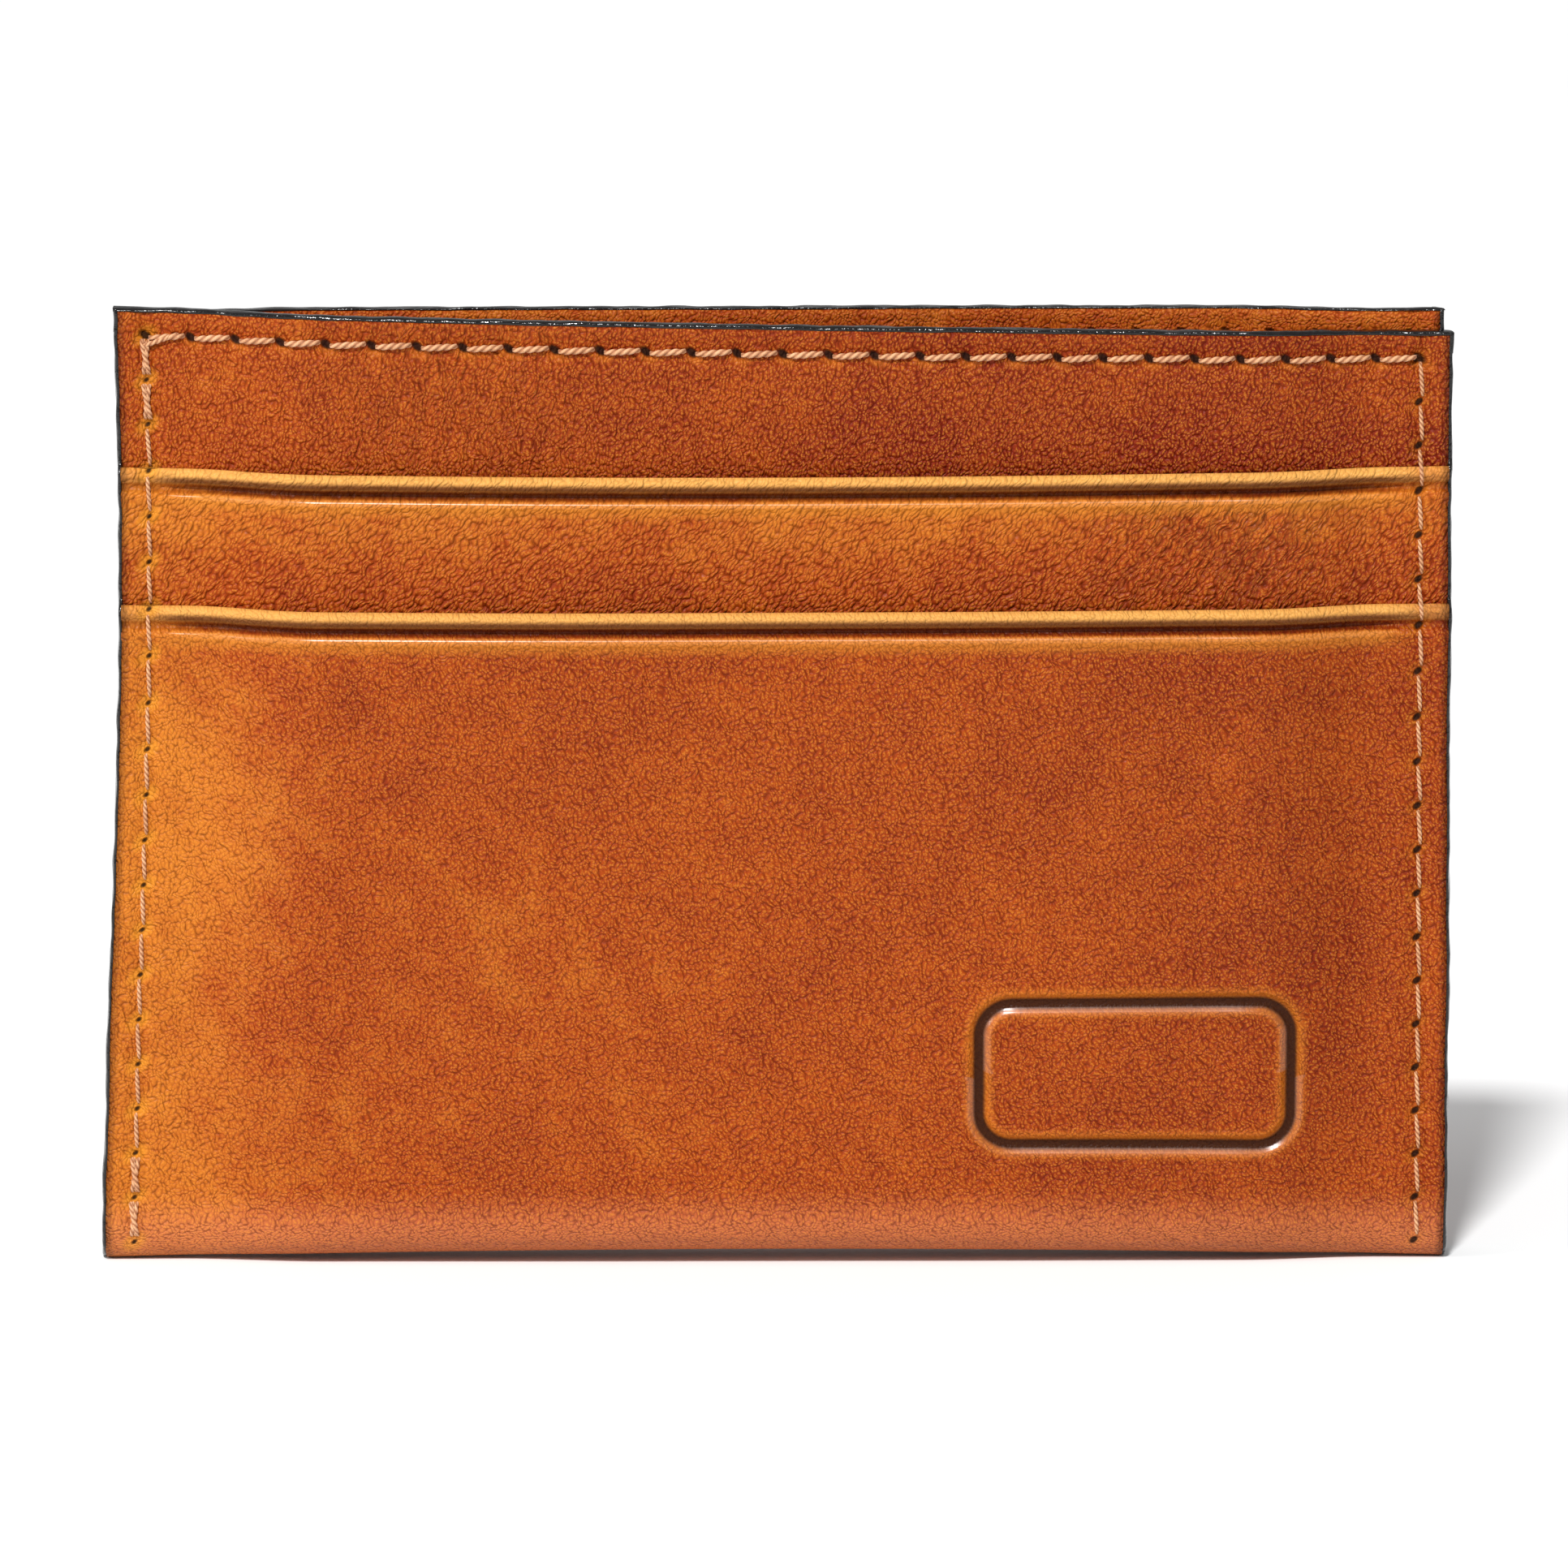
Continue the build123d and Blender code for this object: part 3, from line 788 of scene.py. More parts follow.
def surface_of(face_at, side, groove):
    """The place of a stitch on a wall: its point on the leather and the way out from it."""
    def base(x, z):
        face = face_at(z)
        deepest = max(depth_of(face_at(z + step * MM), x, z) for step in (-0.5, -0.25, 0, 0.25, 0.5))
        softened = (deepest + depth_of(face, x, z)) / 2
        return bent(x, side * (softened - groove), z), Vector((0, side, 0))
    return base


def seam_face(z):
    """The outermost leather of the pressed stack at one height."""
    if z < LOWER_MOUTH:
        return WRAP_OUTSIDE
    return SLOT_OUTSIDE if z < UPPER_MOUTH else BODY_OUTSIDE


def row_holes(side):
    """Holes of the row under a mouth."""
    places = [-SEAM_X + TOP_STEP * i for i in range(TOP_COUNT + 1)]
    return [(x, mouth_of(side, x) - TOP_INSET) for x in places]


def seam_holes(hand):
    """Holes of a side seam from the fold up."""
    return [(hand * SEAM_X, SIDE_FOOT + side_step(hand) * i) for i in range(SIDE_COUNT + 1)]


def shortened(start, end, at_start, at_end):
    """Draws the ends of a stitch in from its holes, as the thread fills only part of a hole."""
    (x0, z0), (x1, z1) = start, end
    return (
        (x0 + (x1 - x0) * at_start, z0 + (z1 - z0) * at_start),
        (x1 - (x1 - x0) * at_end, z1 - (z1 - z0) * at_end),
    )


ROW_THREAD = 0.25 * MM
SEAM_THREAD = 0.165 * MM


def row_stitches(name, side, node):
    """The thread lying on the outside of a wall, under its mouth."""
    bm = bmesh.new()
    base = surface_of(lambda z: BODY_OUTSIDE, side, SEAM_GROOVE * 0.8)
    holes = row_holes(side)
    for number, (start, end) in enumerate(zip(holes, holes[1:])):
        ends = shortened(start, end, 0.07, 0.11)
        add_stitch(bm, *ends, base, ROW_THREAD, 0.13 * MM, seed=number * 0.9)
    (x0, z0), (x1, z1) = holes[0], holes[1]
    first, last = (x0 - 0.5 * MM, z0 - 0.9 * MM), (x1 - 0.8 * MM, z1 + 0.35 * MM)
    add_stitch(bm, first, last, base, ROW_THREAD * 0.75, seed=40.0, rise=1.3)
    return finish_tubes(name, bm, "thread", node)


def hidden_row_stitches(name, side, node):
    """The thread of the same row inside the pocket, where the walls leave it room."""
    bm = bmesh.new()

    def base(x, z):
        return bent(x, side * depth_of(LINING_INSIDE, x, z), z), Vector((0, -side, 0))

    for number, (start, end) in enumerate(zip(row_holes(side), row_holes(side)[1:])):
        if min(depth_of(LINING_INSIDE, *start), depth_of(LINING_INSIDE, *end)) > 0.7 * MM:
            add_stitch(bm, start, end, base, SEAM_THREAD, seed=number * 1.3, rings=14)
    return finish_tubes(name, bm, "thread", node)


def seam_stitches(name, hand, side, node, doubled=()):
    """A side seam's thread on one face; doubled stitches were sewn twice to lock the seam."""
    bm = bmesh.new()
    base = surface_of(seam_face, side, SEAM_GROOVE * 0.8)
    holes = seam_holes(hand) + [(hand * SEAM_X, mouth_of(side, hand * SEAM_X) - TOP_INSET)]
    for number, (start, end) in enumerate(zip(holes, holes[1:])):
        if abs(end[1] - start[1]) < 0.5 * MM:
            continue
        ends = shortened(start, end, 0.10, 0.08)
        add_stitch(bm, *ends, base, SEAM_THREAD, 0.10 * MM, seed=number * 1.1 + hand)
        if number in doubled:
            thick = 1.2 * SEAM_THREAD
            add_stitch(bm, *ends, base, thick, hand * -0.30 * MM, seed=number * 2.3, rise=1.1)
            add_stitch(bm, *ends, base, thick, hand * 0.22 * MM, seed=number * 3.1, rise=0.8)
    return finish_tubes(name, bm, "thread", node)


def anchor_stitches(name, side, node):
    """Hidden row that holds the foot of an upper slot panel."""
    bm = bmesh.new()
    base = surface_of(lambda z: SLOT_OUTSIDE, side, 0)
    height = SLOT_FOOT + 3 * MM
    places = even_steps(-HALF_WIDTH + 18 * MM, HALF_WIDTH - 18 * MM, 4 * MM)
    for number, (x0, x1) in enumerate(zip(places, places[1:])):
        add_stitch(bm, (x0, height), (x1, height), base, 0.15 * MM, seed=number, sink=0.2 * MM, rings=12)
    return finish_tubes(name, bm, "thread", node)


LAST = SIDE_COUNT - 1
threads = [
    row_stitches("front_mouth_stitches", FRONT, "front_mouth_needle_thread"),
    row_stitches("back_mouth_stitches", BACK, "back_mouth_needle_thread"),
    hidden_row_stitches("front_pocket_stitches", FRONT, "front_mouth_bobbin_thread"),
    hidden_row_stitches("back_pocket_stitches", BACK, "back_mouth_bobbin_thread"),
    seam_stitches("left_seam_stitches", LEFT, FRONT, "left_seam_needle_thread", (0, 1, LAST - 1, LAST)),
    seam_stitches("left_back_stitches", LEFT, BACK, "left_seam_bobbin_thread"),
    seam_stitches("right_seam_stitches", RIGHT, FRONT, "right_seam_needle_thread"),
    seam_stitches("right_back_stitches", RIGHT, BACK, "right_seam_bobbin_thread"),
    anchor_stitches("front_anchor_stitches", FRONT, "front_slot_anchor_threads"),
    anchor_stitches("back_anchor_stitches", BACK, "back_slot_anchor_threads"),
]

# %% [markdown]
# ## Writing finishes as sums
# A finish is a network of shader nodes. Wiring it by hand hides the idea, so a small class wraps
# an output and lets Python's own signs add the maths nodes. Every other node comes from one
# method, which takes the node's type, its settings and what goes into it.

# %% Writing finishes as sums
class Signal:
    """A node's output that can be added, taken away, multiplied and divided."""

    def __init__(self, finish, socket):
        self.finish = finish
        self.socket = socket

    def maths(self, operation, *values):
        inputs = dict(enumerate(values))
        return self.finish.add("ShaderNodeMath", {"operation": operation}, inputs)

    def __add__(self, other):
        return self.maths("ADD", self, other)

    def __radd__(self, other):
        return self.maths("ADD", other, self)

    def __sub__(self, other):
        return self.maths("SUBTRACT", self, other)

    def __rsub__(self, other):
        return self.maths("SUBTRACT", other, self)

    def __mul__(self, other):
        return self.maths("MULTIPLY", self, other)

    def __rmul__(self, other):
        return self.maths("MULTIPLY", other, self)

    def __truediv__(self, other):
        return self.maths("DIVIDE", self, other)

    def __abs__(self):
        return self.maths("ABSOLUTE", self)

    def smaller(self, other):
        return self.maths("MINIMUM", self, other)

    def larger(self, other):
        return self.maths("MAXIMUM", self, other)

    def nearest_whole(self):
        return self.maths("ROUND", self)

    def root(self):
        return self.maths("SQRT", self)


class Finish:
    """A material under construction."""

    def __init__(self, name):
        self.material = bpy.data.materials.new(name)
        self.material.use_nodes = True
        self.tree = self.material.node_tree
        self.tree.nodes.clear()

    def add(self, kind, settings=None, inputs=None, output=0):
        """Adds a node: its settings first, then its inputs; returns one of its outputs."""
        node = self.tree.nodes.new(kind)
        for key, value in (settings or {}).items():
            if key == "stops":
                self.set_stops(node.color_ramp, value)
            else:
                setattr(node, key, value)
        for key, value in (inputs or {}).items():
            if isinstance(value, Signal):
                self.tree.links.new(value.socket, node.inputs[key])
            else:
                node.inputs[key].default_value = value
        return Signal(self, node.outputs[output]) if len(node.outputs) else node

    def set_stops(self, ramp, stops):
        """Places the colours of a ramp."""
        while len(ramp.elements) < len(stops):
            ramp.elements.new(0.5)
        for element, (position, colour) in zip(ramp.elements, stops):
            element.position = position
            element.color = colour

    def step(self, value, low, high):
        """0 below low, 1 above high, smooth between."""
        inputs = {"Value": value, "From Min": low, "From Max": high}
        return self.add("ShaderNodeMapRange", {"interpolation_type": "SMOOTHSTEP"}, inputs)

    def blend(self, share, first, second):
        """Mixes two colours."""
        settings = {"data_type": "RGBA", "blend_type": "MIX", "clamp_factor": True}
        return self.add("ShaderNodeMix", settings, {0: share, 6: first, 7: second}, 2)

    def vectors(self, operation, first, second):
        """Adds, subtracts or multiplies two vectors."""
        return self.add("ShaderNodeVectorMath", {"operation": operation}, {0: first, 1: second})

    def carried(self, name):
        """A vector that each point of the mesh carries."""
        return self.add("ShaderNodeAttribute", {"attribute_name": name}, None, "Vector")

    def parts(self, vector, count=3):
        """The first numbers of a vector."""
        return [self.add("ShaderNodeSeparateXYZ", None, {0: vector}, axis) for axis in range(count)]

    def stretch(self, vector, scale, turn=0.0):
        """Turns, then scales a place, for patterns that run one way."""
        turned = self.add("ShaderNodeMapping", None, {"Vector": vector, "Rotation": (0, 0, turn)})
        return self.vectors("MULTIPLY", turned, scale)

    def noise(self, vector, scale, detail=2.0, roughness=0.5, output=0):
        """Cloudy noise, about 0 to 1."""
        inputs = {"Vector": vector, "Scale": scale, "Detail": detail, "Roughness": roughness}
        return self.add("ShaderNodeTexNoise", None, inputs, output)

    def surface(self, shader):
        """Sends a shader to the output."""
        self.add("ShaderNodeOutputMaterial", None, {"Surface": shader})
        return self.material


def dye(red, green, blue):
    """A colour as a dye chart gives it, 0 to 255, turned into light."""
    def light(level):
        share = level / 255
        return share / 12.92 if share <= 0.04045 else ((share + 0.055) / 1.055) ** 2.4
    return (light(red), light(green), light(blue), 1.0)


# %% [markdown]
# ## Antiqued leather
# The hide is drum-dyed and rubbed by hand. It is amber where the dye is thin, orange where it is
# normal and red-brown where the maker went over it again. The grain is a field of small pebbles
# with fine valleys between them, so distance from the middle of Voronoi cells is the right start.
# It is warped so that no cell looks drawn, and stretched into slanting wrinkles where the hide
# was pulled. Dye collects in the valleys and wears off the tops. Pattern places come from the
# flat hide, so the grain turns round the fold with the leather.

# %% The grain
AMBER = dye(190, 106, 30)
ORANGE = dye(153, 60, 10)
RED_BROWN = dye(118, 30, 5)
GOLD = dye(222, 164, 84)
BURNT = dye(44, 14, 4)
# Painted shade for the dark cores of the stitch holes.
HOLE_SHADE = dye(22, 8, 3)
FACE_SHINE = 0.11
COAT_ROUGHNESS = 0.27
GRAIN_HEIGHT = 0.11 * MM


def wrinkled_grain(f, x, warped, turn, amount, centre, pebbles_per_mm, pull):
    """Pebbles, wrinkles and slow folds of the hide, all pulled one way. Wrinkles gather round a
    place, given in millimetres from the middle of the case."""
    domes = {"voronoi_dimensions": "2D", "feature": "F1"}
    pulled = f.stretch(warped, (1.0, pull, 1.0), turn)
    cells = {"Vector": pulled, "Scale": pebbles_per_mm}
    from_middle = f.add("ShaderNodeTexVoronoi", domes, cells, "Distance") * 1.1
    pebble = (1.0 - from_middle * from_middle).larger(0.0)
    line = abs(f.noise(f.stretch(warped, (1.15, 0.13, 1.0), turn), 1.0, 2.0, 0.6) - 0.5)
    there = 1.0 - f.step(abs(x - centre), 3.0, 15.0)
    wrinkle = (1.0 - f.step(line, 0.0, 0.10)) * there * amount
    slow = f.noise(f.stretch(warped, (0.50, 0.16, 1.0), turn), 1.0, 2.0, 0.5) * (0.4 + there)
    return pebble, wrinkle, slow


# %% [markdown]
# ## What the maker did to the hide
# Three things change the leather locally: the creasing iron along a mouth, the warm stamp of the frame,
# and the pricking iron. Each is a distance in millimetres to a line or a hole, and bands of that
# distance say where the gold, the scorched brown and the gloss go, and where shade is painted: under the
# bead, in the frame's groove and in the holes.

# %% What the maker did to the hide
def pressed_frame(f, x, height, side):
    """Distance in millimetres to the line of the pressed frame, far away on the back, and the
    same distance counted only down from the line, over the wall that faces up."""
    dx = abs(x - MARK_X / MM) - (MARK_HALF_WIDTH - MARK_CORNER) / MM
    dz = abs(height - MARK_Z / MM) - (MARK_HALF_HEIGHT - MARK_CORNER) / MM
    right, up = dx.larger(0.0), dz.larger(0.0)
    outside = (right * right + up * up).root() + dx.larger(dz).smaller(0.0) - MARK_CORNER / MM
    lower_half = 2.0 * f.step(MARK_Z / MM - height, -0.5, 0.5) - 1.0
    on_back = 9.0 * f.step(side, -1.0, 1.0)
    return abs(outside) + on_back, outside * lower_half - on_back


def turned_edge(f, colour, relief, flat, drop, inset, pebble):
    """Gold on the bead with painted shade on its lower half, dark in the crease under it, and a glossy
    worn lip under that.
    """
    on_bead = (1.0 - f.step(drop, 0.98, 1.32)) * (0.45 + 0.55 * f.step(inset, 1.0, 5.0))
    crease = f.step(drop, 1.00, 1.34) * (1.0 - f.step(drop, 1.66, 1.94))
    lip = f.step(drop, 1.72, 1.90) * (1.0 - f.step(drop, 2.10, 2.5)) * f.step(inset, 3.0, 8.0)
    across = f.noise(f.stretch(flat, (2.2, 0.6, 1.0)), 1.0, 2.0, 0.6)
    crack = 1.0 - f.step(abs(across - 0.5), 0.0, 0.05)
    colour = f.blend(on_bead * 0.80, colour, GOLD)
    colour = f.blend(on_bead * crack * 0.16, colour, dye(140, 70, 20))
    # Painted shade: the lower half of the bead, which faces down, is darkened to brown.
    colour = f.blend(on_bead * f.step(drop, 0.42, 0.86) * 0.86, colour, dye(86, 32, 8))
    worn = f.step(drop, 1.80, 2.05) * (1.0 - f.step(drop, 2.1, 3.6)) * f.step(inset, 2.0, 6.0)
    colour = f.blend(worn * 0.55, colour, dye(222, 140, 46))
    colour = f.blend(crease * (0.30 + 0.55 * f.step(inset, 3.0, 9.0)), colour, dye(70, 22, 6))
    relief = relief * (1.0 - 0.15 * on_bead - 0.4 * crease)
    return colour, relief, lip * (0.4 + 0.6 * f.step(pebble, 0.3, 0.8))


def stamped(f, colour, relief, coat, fine, away, below):
    """The pressed frame: pale rims, a dark groove that is partly scorched by the stamp and partly
    painted shade, and a glossy lower wall.
    """
    groove = 1.0 - f.step(away, 0.50, 0.85)
    colour = f.blend((1.0 - f.step(away, 0.6, 1.5)) * 0.35, colour, dye(214, 130, 40))
    # Dark groove: partly scorched by the warm stamp, partly painted shade in the recess.
    colour = f.blend((1.0 - f.step(away, 0.26, 0.66)) * 0.94, colour, dye(30, 8, 3))
    relief = relief * (1.0 - groove * 0.7) + groove * fine * 0.5
    on_lower_wall = f.step(below, 0.25, 0.45) * (1.0 - f.step(below, 0.75, 1.05))
    return colour, relief, coat.larger(on_lower_wall * (1.0 - f.step(away, 1.0, 1.2)))


def hole_shape(finish, along, across, first, step, count, slant):
    """Distance in millimetres to the nearest slanting stitch hole of a row, stretched its way."""
    number = ((along - first) / step).nearest_whole().larger(0.0).smaller(float(count))
    ahead = along - first - number * step
    lengthways = (ahead * math.sin(slant) + across * math.cos(slant)) * 0.62
    crossways = ahead * math.cos(slant) - across * math.sin(slant)
    return (lengthways * lengthways + crossways * crossways).root()


def pricked(f, colour, x, drop, height, top_row):
    """Pale rings of the stitch holes, and their dark cores painted as shade."""
    off_seam = x - x.maths("SIGN", x) * (SEAM_X / MM)
    left_hand = 1.0 - f.step(x, -5.0, 5.0)
    stitch = side_step(RIGHT) / MM + left_hand * ((side_step(LEFT) - side_step(RIGHT)) / MM)
    off_hole = off_seam + 0.14 * (1.0 - left_hand)
    side_holes = hole_shape(f, height, off_hole, SIDE_FOOT / MM, stitch, SIDE_COUNT, 0.7)
    halo = 1.0 - f.step(side_holes, 0.3, 0.9)
    colour = f.blend(halo * (0.10 + 0.35 * left_hand), colour, dye(220, 146, 40))
    wide = 0.08 * (1.0 - left_hand)
    hole = 1.0 - f.step(side_holes - wide, 0.07, 0.22)
    if top_row:
        inset = TOP_INSET / MM
        row_holes = hole_shape(f, x, drop - inset, -SEAM_X / MM, TOP_STEP / MM, TOP_COUNT, 0.95)
        pucker = (1.0 - f.step(row_holes, 0.3, 1.0)) * f.step(drop, inset, inset + 0.6)
        colour = f.blend(pucker * 0.5, colour, AMBER)
        hole = hole.larger(1.0 - f.step(row_holes, 0.20, 0.42))
    # Painted shade: the dark core inside each stitch hole.
    return f.blend(hole * 0.95, colour, HOLE_SHADE), hole


# %% [markdown]
# ## The leather, layer by layer
# One finish makes all the leathers. The dye comes first, from slow clouds to small specks. Dark
# valleys and worn pebble tops go over it, then the maker's work, then the burnished edge. The
# same pebbles and wrinkles give the bump its height, so colour and relief always agree.

# %% The leather, layer by layer
def antiqued_leather(name, seed, tone_of, depth, grain, mouth=False, top_row=False, marked=False):
    """Leather finish. tone_of gives the dye from 0, amber, to 1, red-brown, over the piece, and
    depth says how bold the pebbles are. mouth adds the turned edge's colours, top_row the holes
    of the row under a raw mouth, and marked the pressed frame."""
    f = Finish(name)
    flat = f.vectors("ADD", f.carried("flat"), (seed * 71.0, seed * 37.0, 0.0))
    x, drop, side = f.parts(f.carried("place"))
    height = abs(side)
    inset = HALF_WIDTH / MM - abs(x)

    swirl = f.noise(flat, 0.85, 1.0, 0.5, "Color")
    pushed = f.vectors("MULTIPLY", f.vectors("SUBTRACT", swirl, (0.5, 0.5, 0.5)), (0.8, 0.8, 0.0))
    warped = f.vectors("ADD", flat, pushed)
    pebble, wrinkle, slow = wrinkled_grain(f, x, warped, **grain)
    fine = f.noise(flat, 6.0, 2.0, 0.6)

    clouds = f.noise(flat, 0.055, 2.0, 0.55) - 0.5
    mottle = f.noise(f.stretch(flat, (1.0, 0.7, 1.0), 0.5), 0.36, 2.0, 0.6) - 0.5
    specks = f.noise(flat, 1.5, 2.0, 0.6) - 0.5
    tone = tone_of(f, x, drop) + clouds * 0.7 + mottle * 0.65 + specks * 0.35
    stops = [(0.0, AMBER), (0.5, ORANGE), (1.0, RED_BROWN)]
    colour = f.add("ShaderNodeValToRGB", {"stops": stops}, {0: tone}, 0)
    # Lighter, pinker band round the fold: partly thinner dye where the hide is stretched, partly painted
    # sheen, the white table's reflection on the leather that turns under.
    fold_stretch_and_sheen = (1.0 - f.step(height, 1.5, 6.0)) * 0.65
    colour = f.blend(fold_stretch_and_sheen, colour, dye(192, 110, 70))
    valley = 1.0 - f.step(pebble, 0.05, 0.80)
    colour = f.blend(valley * 0.34, colour, dye(78, 16, 3))
    worn = f.step(pebble, 0.70, 1.0) * f.step(fine, 0.40, 0.62)
    colour = f.blend(worn * 0.42, colour, dye(222, 144, 48))
    colour = f.blend(wrinkle * 0.36, colour, dye(70, 20, 4))

    relief = pebble * depth + fine * 0.2 - wrinkle * 0.8 + slow * depth * 1.6
    coat = 0.0
    if mouth:
        colour, relief, coat = turned_edge(f, colour, relief, flat, drop, inset, pebble)
    if marked:
        line = pressed_frame(f, x, height, side)
        colour, relief, coat = stamped(f, colour, relief, coat, fine, *line)
    colour, hole = pricked(f, colour, x, drop, height, top_row)
    burnish = 1.0 - f.step(inset, 0.15, 0.8)
    colour = f.blend(burnish * 0.5, colour, BURNT)

    relief = relief - hole * 1.4
    normal = f.add("ShaderNodeBump", None, {"Strength": 1.0, "Distance": GRAIN_HEIGHT, "Height": relief})
    return f.surface(f.add("ShaderNodeBsdfPrincipled", None, {
        "Base Color": colour,
        "Roughness": 0.48 - 0.10 * pebble + 0.25 * mottle + hole * 0.3,
        "Normal": normal,
        "Specular IOR Level": FACE_SHINE,
        "Coat Weight": coat,
        "Coat Roughness": COAT_ROUGHNESS,
    }))


# %% [markdown]
# ## Four hides
# Each piece was cut from its own place on the hide, so each has its own tone, its own pull of the grain
# and its own bold or quiet pebbles. The tone of a piece also changes across it, as each piece's rule
# below sets it.

# %% Four hides
def pocket_tone(f, x, drop):
    """Golden beside the left seam, redder to the right and under the mouth."""
    left = 1.0 - f.step(x, -49.0, -33.0)
    right = f.step(x, -30.0, 45.0)
    return 0.52 - left * 0.46 + right * 0.20 + (1.0 - f.step(drop, 2.0, 14.0)) * 0.06


def panel_tone(f, x, drop):
    """Golden under its mouth and beside the left seam, red-brown towards the pocket below."""
    left = 1.0 - f.step(x, -49.0, -38.0)
    return 0.32 - left * 0.3 + f.step(drop, 3.0, 9.5) * 0.34


def band_tone(f, x, drop):
    """The darkest piece: red-brown in the middle and right, most of all just above the slot."""
    right = f.step(x, -30.0, 20.0)
    return 0.55 + right * 0.30 + right * f.step(drop, 4.0, 10.0) * 0.18


def lining_tone(f, x, drop):
    """Even orange."""
    return 0.45


pocket_grain = {"turn": 0.5, "amount": 0.3, "centre": 34.0, "pebbles_per_mm": 4.3, "pull": 0.78}
panel_grain = {"turn": -0.6, "amount": 1.0, "centre": 33.0, "pebbles_per_mm": 3.8, "pull": 0.58}
band_grain = {"turn": -0.15, "amount": 0.6, "centre": -25.0, "pebbles_per_mm": 4.2, "pull": 0.7}
lining_grain = {"turn": 0.4, "amount": 0.35, "centre": 10.0, "pebbles_per_mm": 4.2, "pull": 0.8}
pocket_finish = antiqued_leather(
    "antiqued_pocket_leather", 0.0, pocket_tone, 1.15, pocket_grain, mouth=True, marked=True)
panel_finish = antiqued_leather("antiqued_panel_leather", 1.0, panel_tone, 1.7, panel_grain, mouth=True)
band_finish = antiqued_leather("antiqued_body_leather", 2.0, band_tone, 1.4, band_grain, top_row=True)
lining_finish = antiqued_leather("tan_lining_leather", 3.0, lining_tone, 1.1, lining_grain, top_row=True)
wrap.data.materials.append(pocket_finish)
for panel in panels.values():
    panel.data.materials.append(panel_finish)
body.data.materials.append(band_finish)
lining.data.materials.append(lining_finish)
print("leathers:", pocket_finish.name, panel_finish.name, band_finish.name, lining_finish.name)

# %% [markdown]
# ## Thread and paint
# Thread is tan and dull, with painted shade in the grooves between its plies. Paint is black and
# wet-looking; its surface has slow waves that break the light up into dashes along the bead.

# %% Thread and paint
def waxed_thread():
    """Twisted tan thread."""
    f = Finish("tan_thread")
    spot = f.add("ShaderNodeTexCoord", None, None, "Object")
    along, turn = f.parts(f.carried("lay"), 2)
    wave = (turn - math.pi / 2) * (PLIES / 2) + along * (math.pi / PLY_STEP)
    ply = abs(wave.maths("COSINE", wave))
    fibres = f.noise(spot, 9000.0, 2.0, 0.6)
    patches = f.noise(spot, 700.0, 1.0, 0.5)
    # Painted shade: the colour darkens where ply is low, in the grooves between the two plies.
    tone = ply * 0.45 + fibres * 0.35 + patches * 0.3 - 0.05
    stops = [(0.1, dye(84, 42, 20)), (0.5, dye(172, 110, 66)), (0.95, dye(238, 192, 146))]
    colour = f.add("ShaderNodeValToRGB", {"stops": stops}, {0: tone}, 0)
    height = ply * 0.5 + fibres
    normal = f.add("ShaderNodeBump", None, {"Strength": 0.6, "Distance": 0.05 * MM, "Height": height})
    inputs = {"Base Color": colour, "Roughness": 0.62, "Normal": normal, "Sheen Weight": 0.15}
    return f.surface(f.add("ShaderNodeBsdfPrincipled", None, inputs))


def edge_paint():
    """Glossy black paint."""
    f = Finish("black_edge_paint")
    spot = f.add("ShaderNodeTexCoord", None, None, "Object")
    waves = f.noise(spot, 900.0, 2.0, 0.5)
    dust = f.noise(spot, 3500.0, 2.0, 0.6)
    colour = f.blend(dust, dye(6, 5, 6), dye(18, 15, 15))
    height = waves + dust * 0.25
    normal = f.add("ShaderNodeBump", None, {"Strength": 1.0, "Distance": 0.18 * MM, "Height": height})
    inputs = {
        "Base Color": colour,
        "Roughness": 0.10 + 0.12 * dust,
        "Normal": normal,
        "Specular IOR Level": 0.45,
    }
    return f.surface(f.add("ShaderNodeBsdfPrincipled", None, inputs))


thread_finish = waxed_thread()
paint_finish = edge_paint()
for piece in threads:
    piece.data.materials.append(thread_finish)
for piece in painted:
    piece.data.materials.append(paint_finish)
print(len(threads), "threads and", len(painted), "beads of paint are finished")

# %% [markdown]
# ## Studio
# The case stands on a pale table against a pale background. One fairly small light from the
# upper left front rakes across the leather, so the grain and stitches cast tiny shadows, and a
# bright surrounding fills the rest. The camera is a long lens a little above the case.

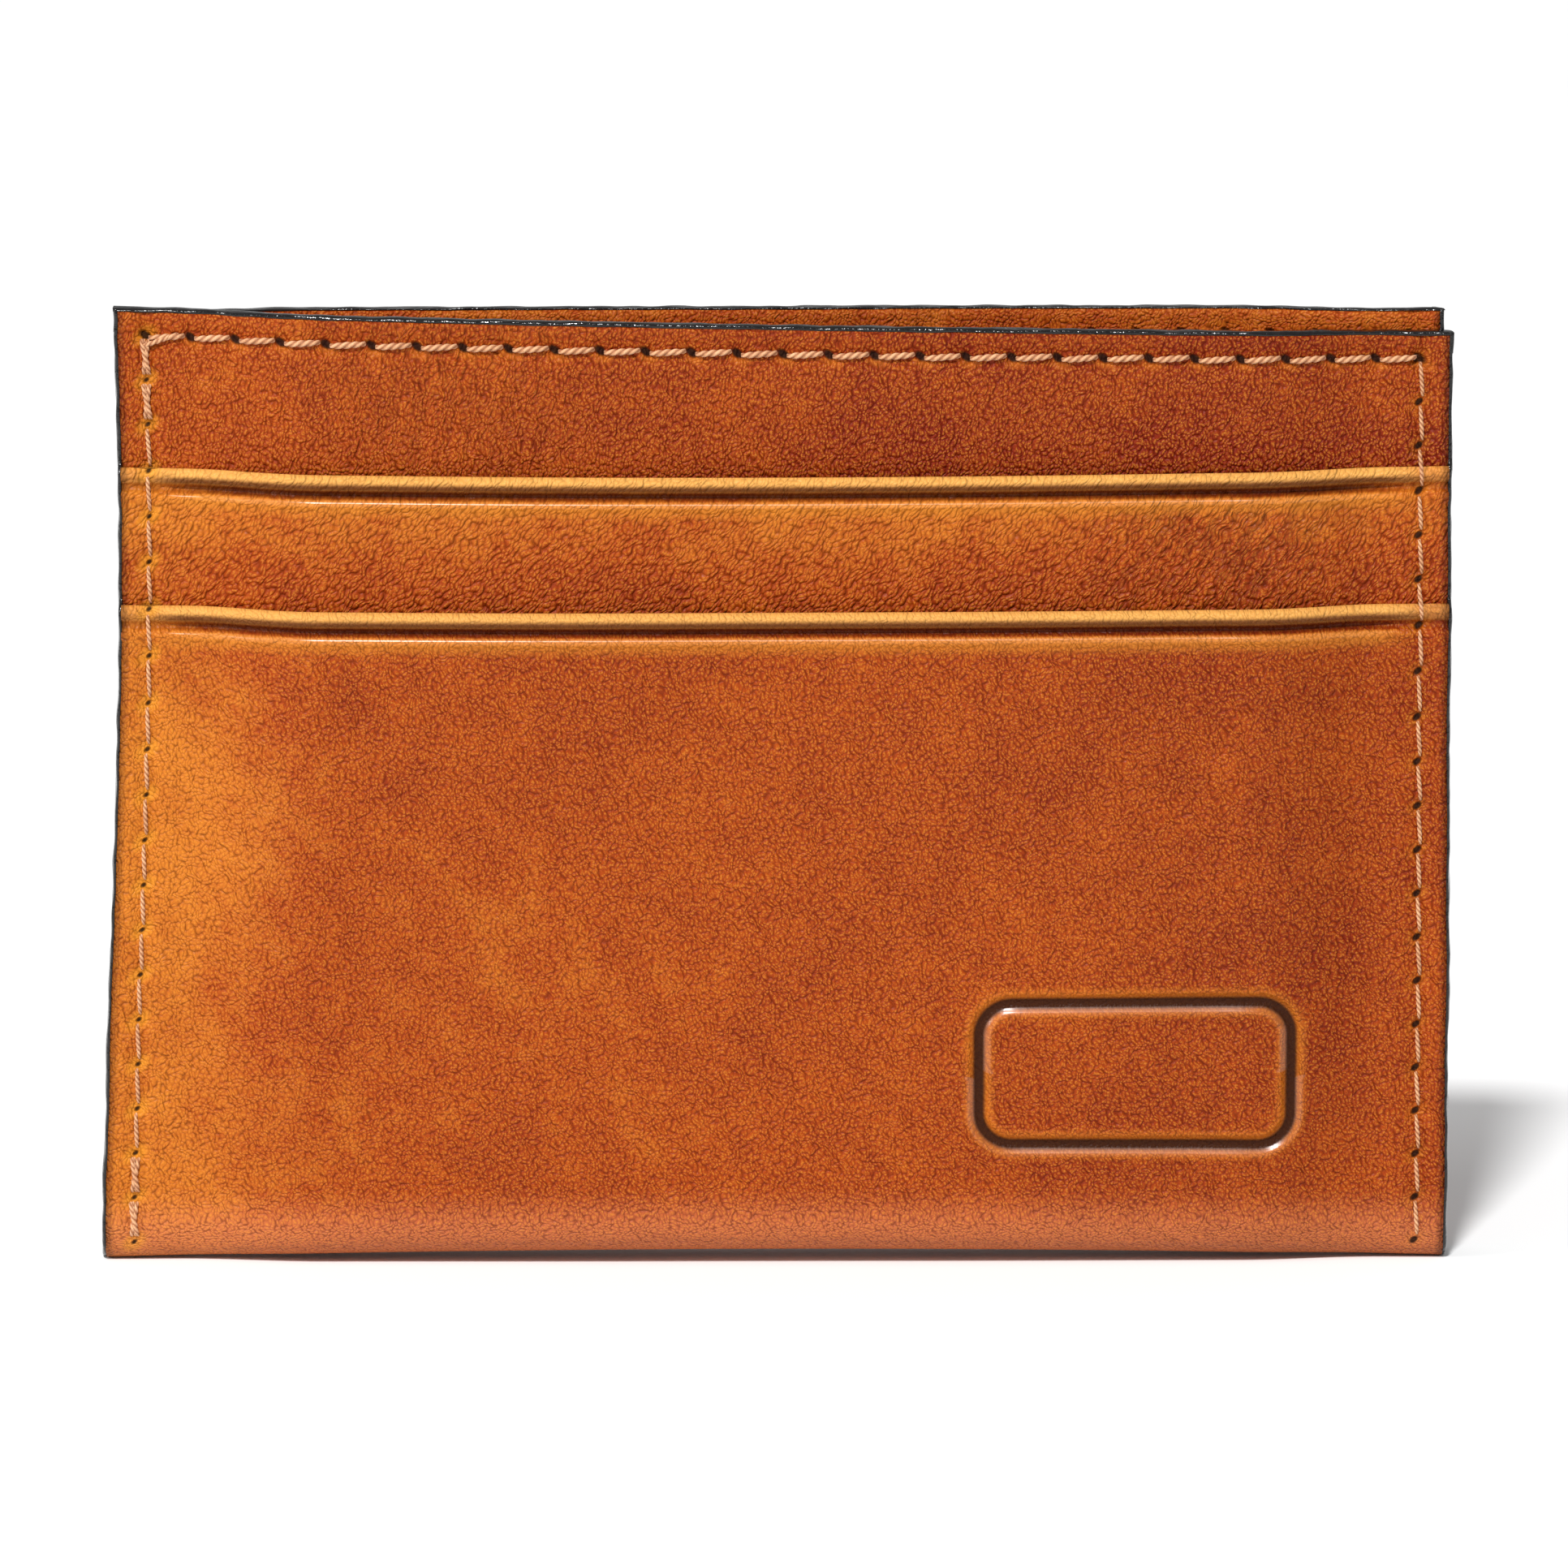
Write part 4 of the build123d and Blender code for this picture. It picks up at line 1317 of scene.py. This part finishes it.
# %% Studio
floor_mesh = bpy.data.meshes.new("table_top")
floor_bm = bmesh.new()
bmesh.ops.create_grid(floor_bm, x_segments=1, y_segments=1, size=3.0)
floor_bm.to_mesh(floor_mesh)
floor_bm.free()
floor = bpy.data.objects.new("table_top", floor_mesh)
bpy.context.scene.collection.objects.link(floor)
table = Finish("pale_table")
cloud = table.noise(table.add("ShaderNodeTexCoord", None, None, "Object"), 6.0, 2.0, 0.5)
table_colour = table.blend(cloud, (0.90, 0.90, 0.90, 1.0), (0.94, 0.94, 0.94, 1.0))
floor_inputs = {"Base Color": table_colour, "Roughness": 0.6}
floor.data.materials.append(table.surface(table.add("ShaderNodeBsdfPrincipled", None, floor_inputs)))

world = bpy.data.worlds.new("studio")
bpy.context.scene.world = world
world.use_nodes = True
world.node_tree.nodes["Background"].inputs["Color"].default_value = (1.0, 1.0, 1.0, 1.0)
world.node_tree.nodes["Background"].inputs["Strength"].default_value = 0.42


def studio_light(name, kind, place, target, power, **settings):
    """A light that looks at a point."""
    light = bpy.data.lights.new(name, kind)
    light.energy = power
    for key, value in settings.items():
        setattr(light, key, value)
    lamp = bpy.data.objects.new(name, light)
    lamp.location = place
    lamp.rotation_euler = (Vector(target) - Vector(place)).to_track_quat("-Z", "Y").to_euler()
    bpy.context.scene.collection.objects.link(lamp)
    return lamp


AIM = (0.10 * MM, 0.0, 37.08 * MM)
studio_light("key", "SUN", (-0.20, -0.86, 1.03), AIM, 3.3, angle=math.radians(7))
studio_light("side", "AREA", (-1.05, -0.42, 0.50), AIM, 5.0, size=0.35)

CAMERA_DISTANCE = 0.700
CAMERA_TURN = math.radians(-0.46)
CAMERA_RISE = math.radians(9.3)
camera_data = bpy.data.cameras.new("camera")
camera_data.sensor_width = 36.0
camera_data.lens = 208.2
camera_data.clip_start = 0.01
camera = bpy.data.objects.new("camera", camera_data)
level = math.cos(CAMERA_RISE) * CAMERA_DISTANCE
camera.location = (
    AIM[0] + math.sin(CAMERA_TURN) * level,
    AIM[1] - math.cos(CAMERA_TURN) * level,
    AIM[2] + math.sin(CAMERA_RISE) * CAMERA_DISTANCE,
)
camera.rotation_euler = (Vector(AIM) - camera.location).to_track_quat("-Z", "Y").to_euler()
bpy.context.scene.collection.objects.link(camera)
bpy.context.scene.camera = camera
bpy.context.scene.view_settings.view_transform = "Standard"
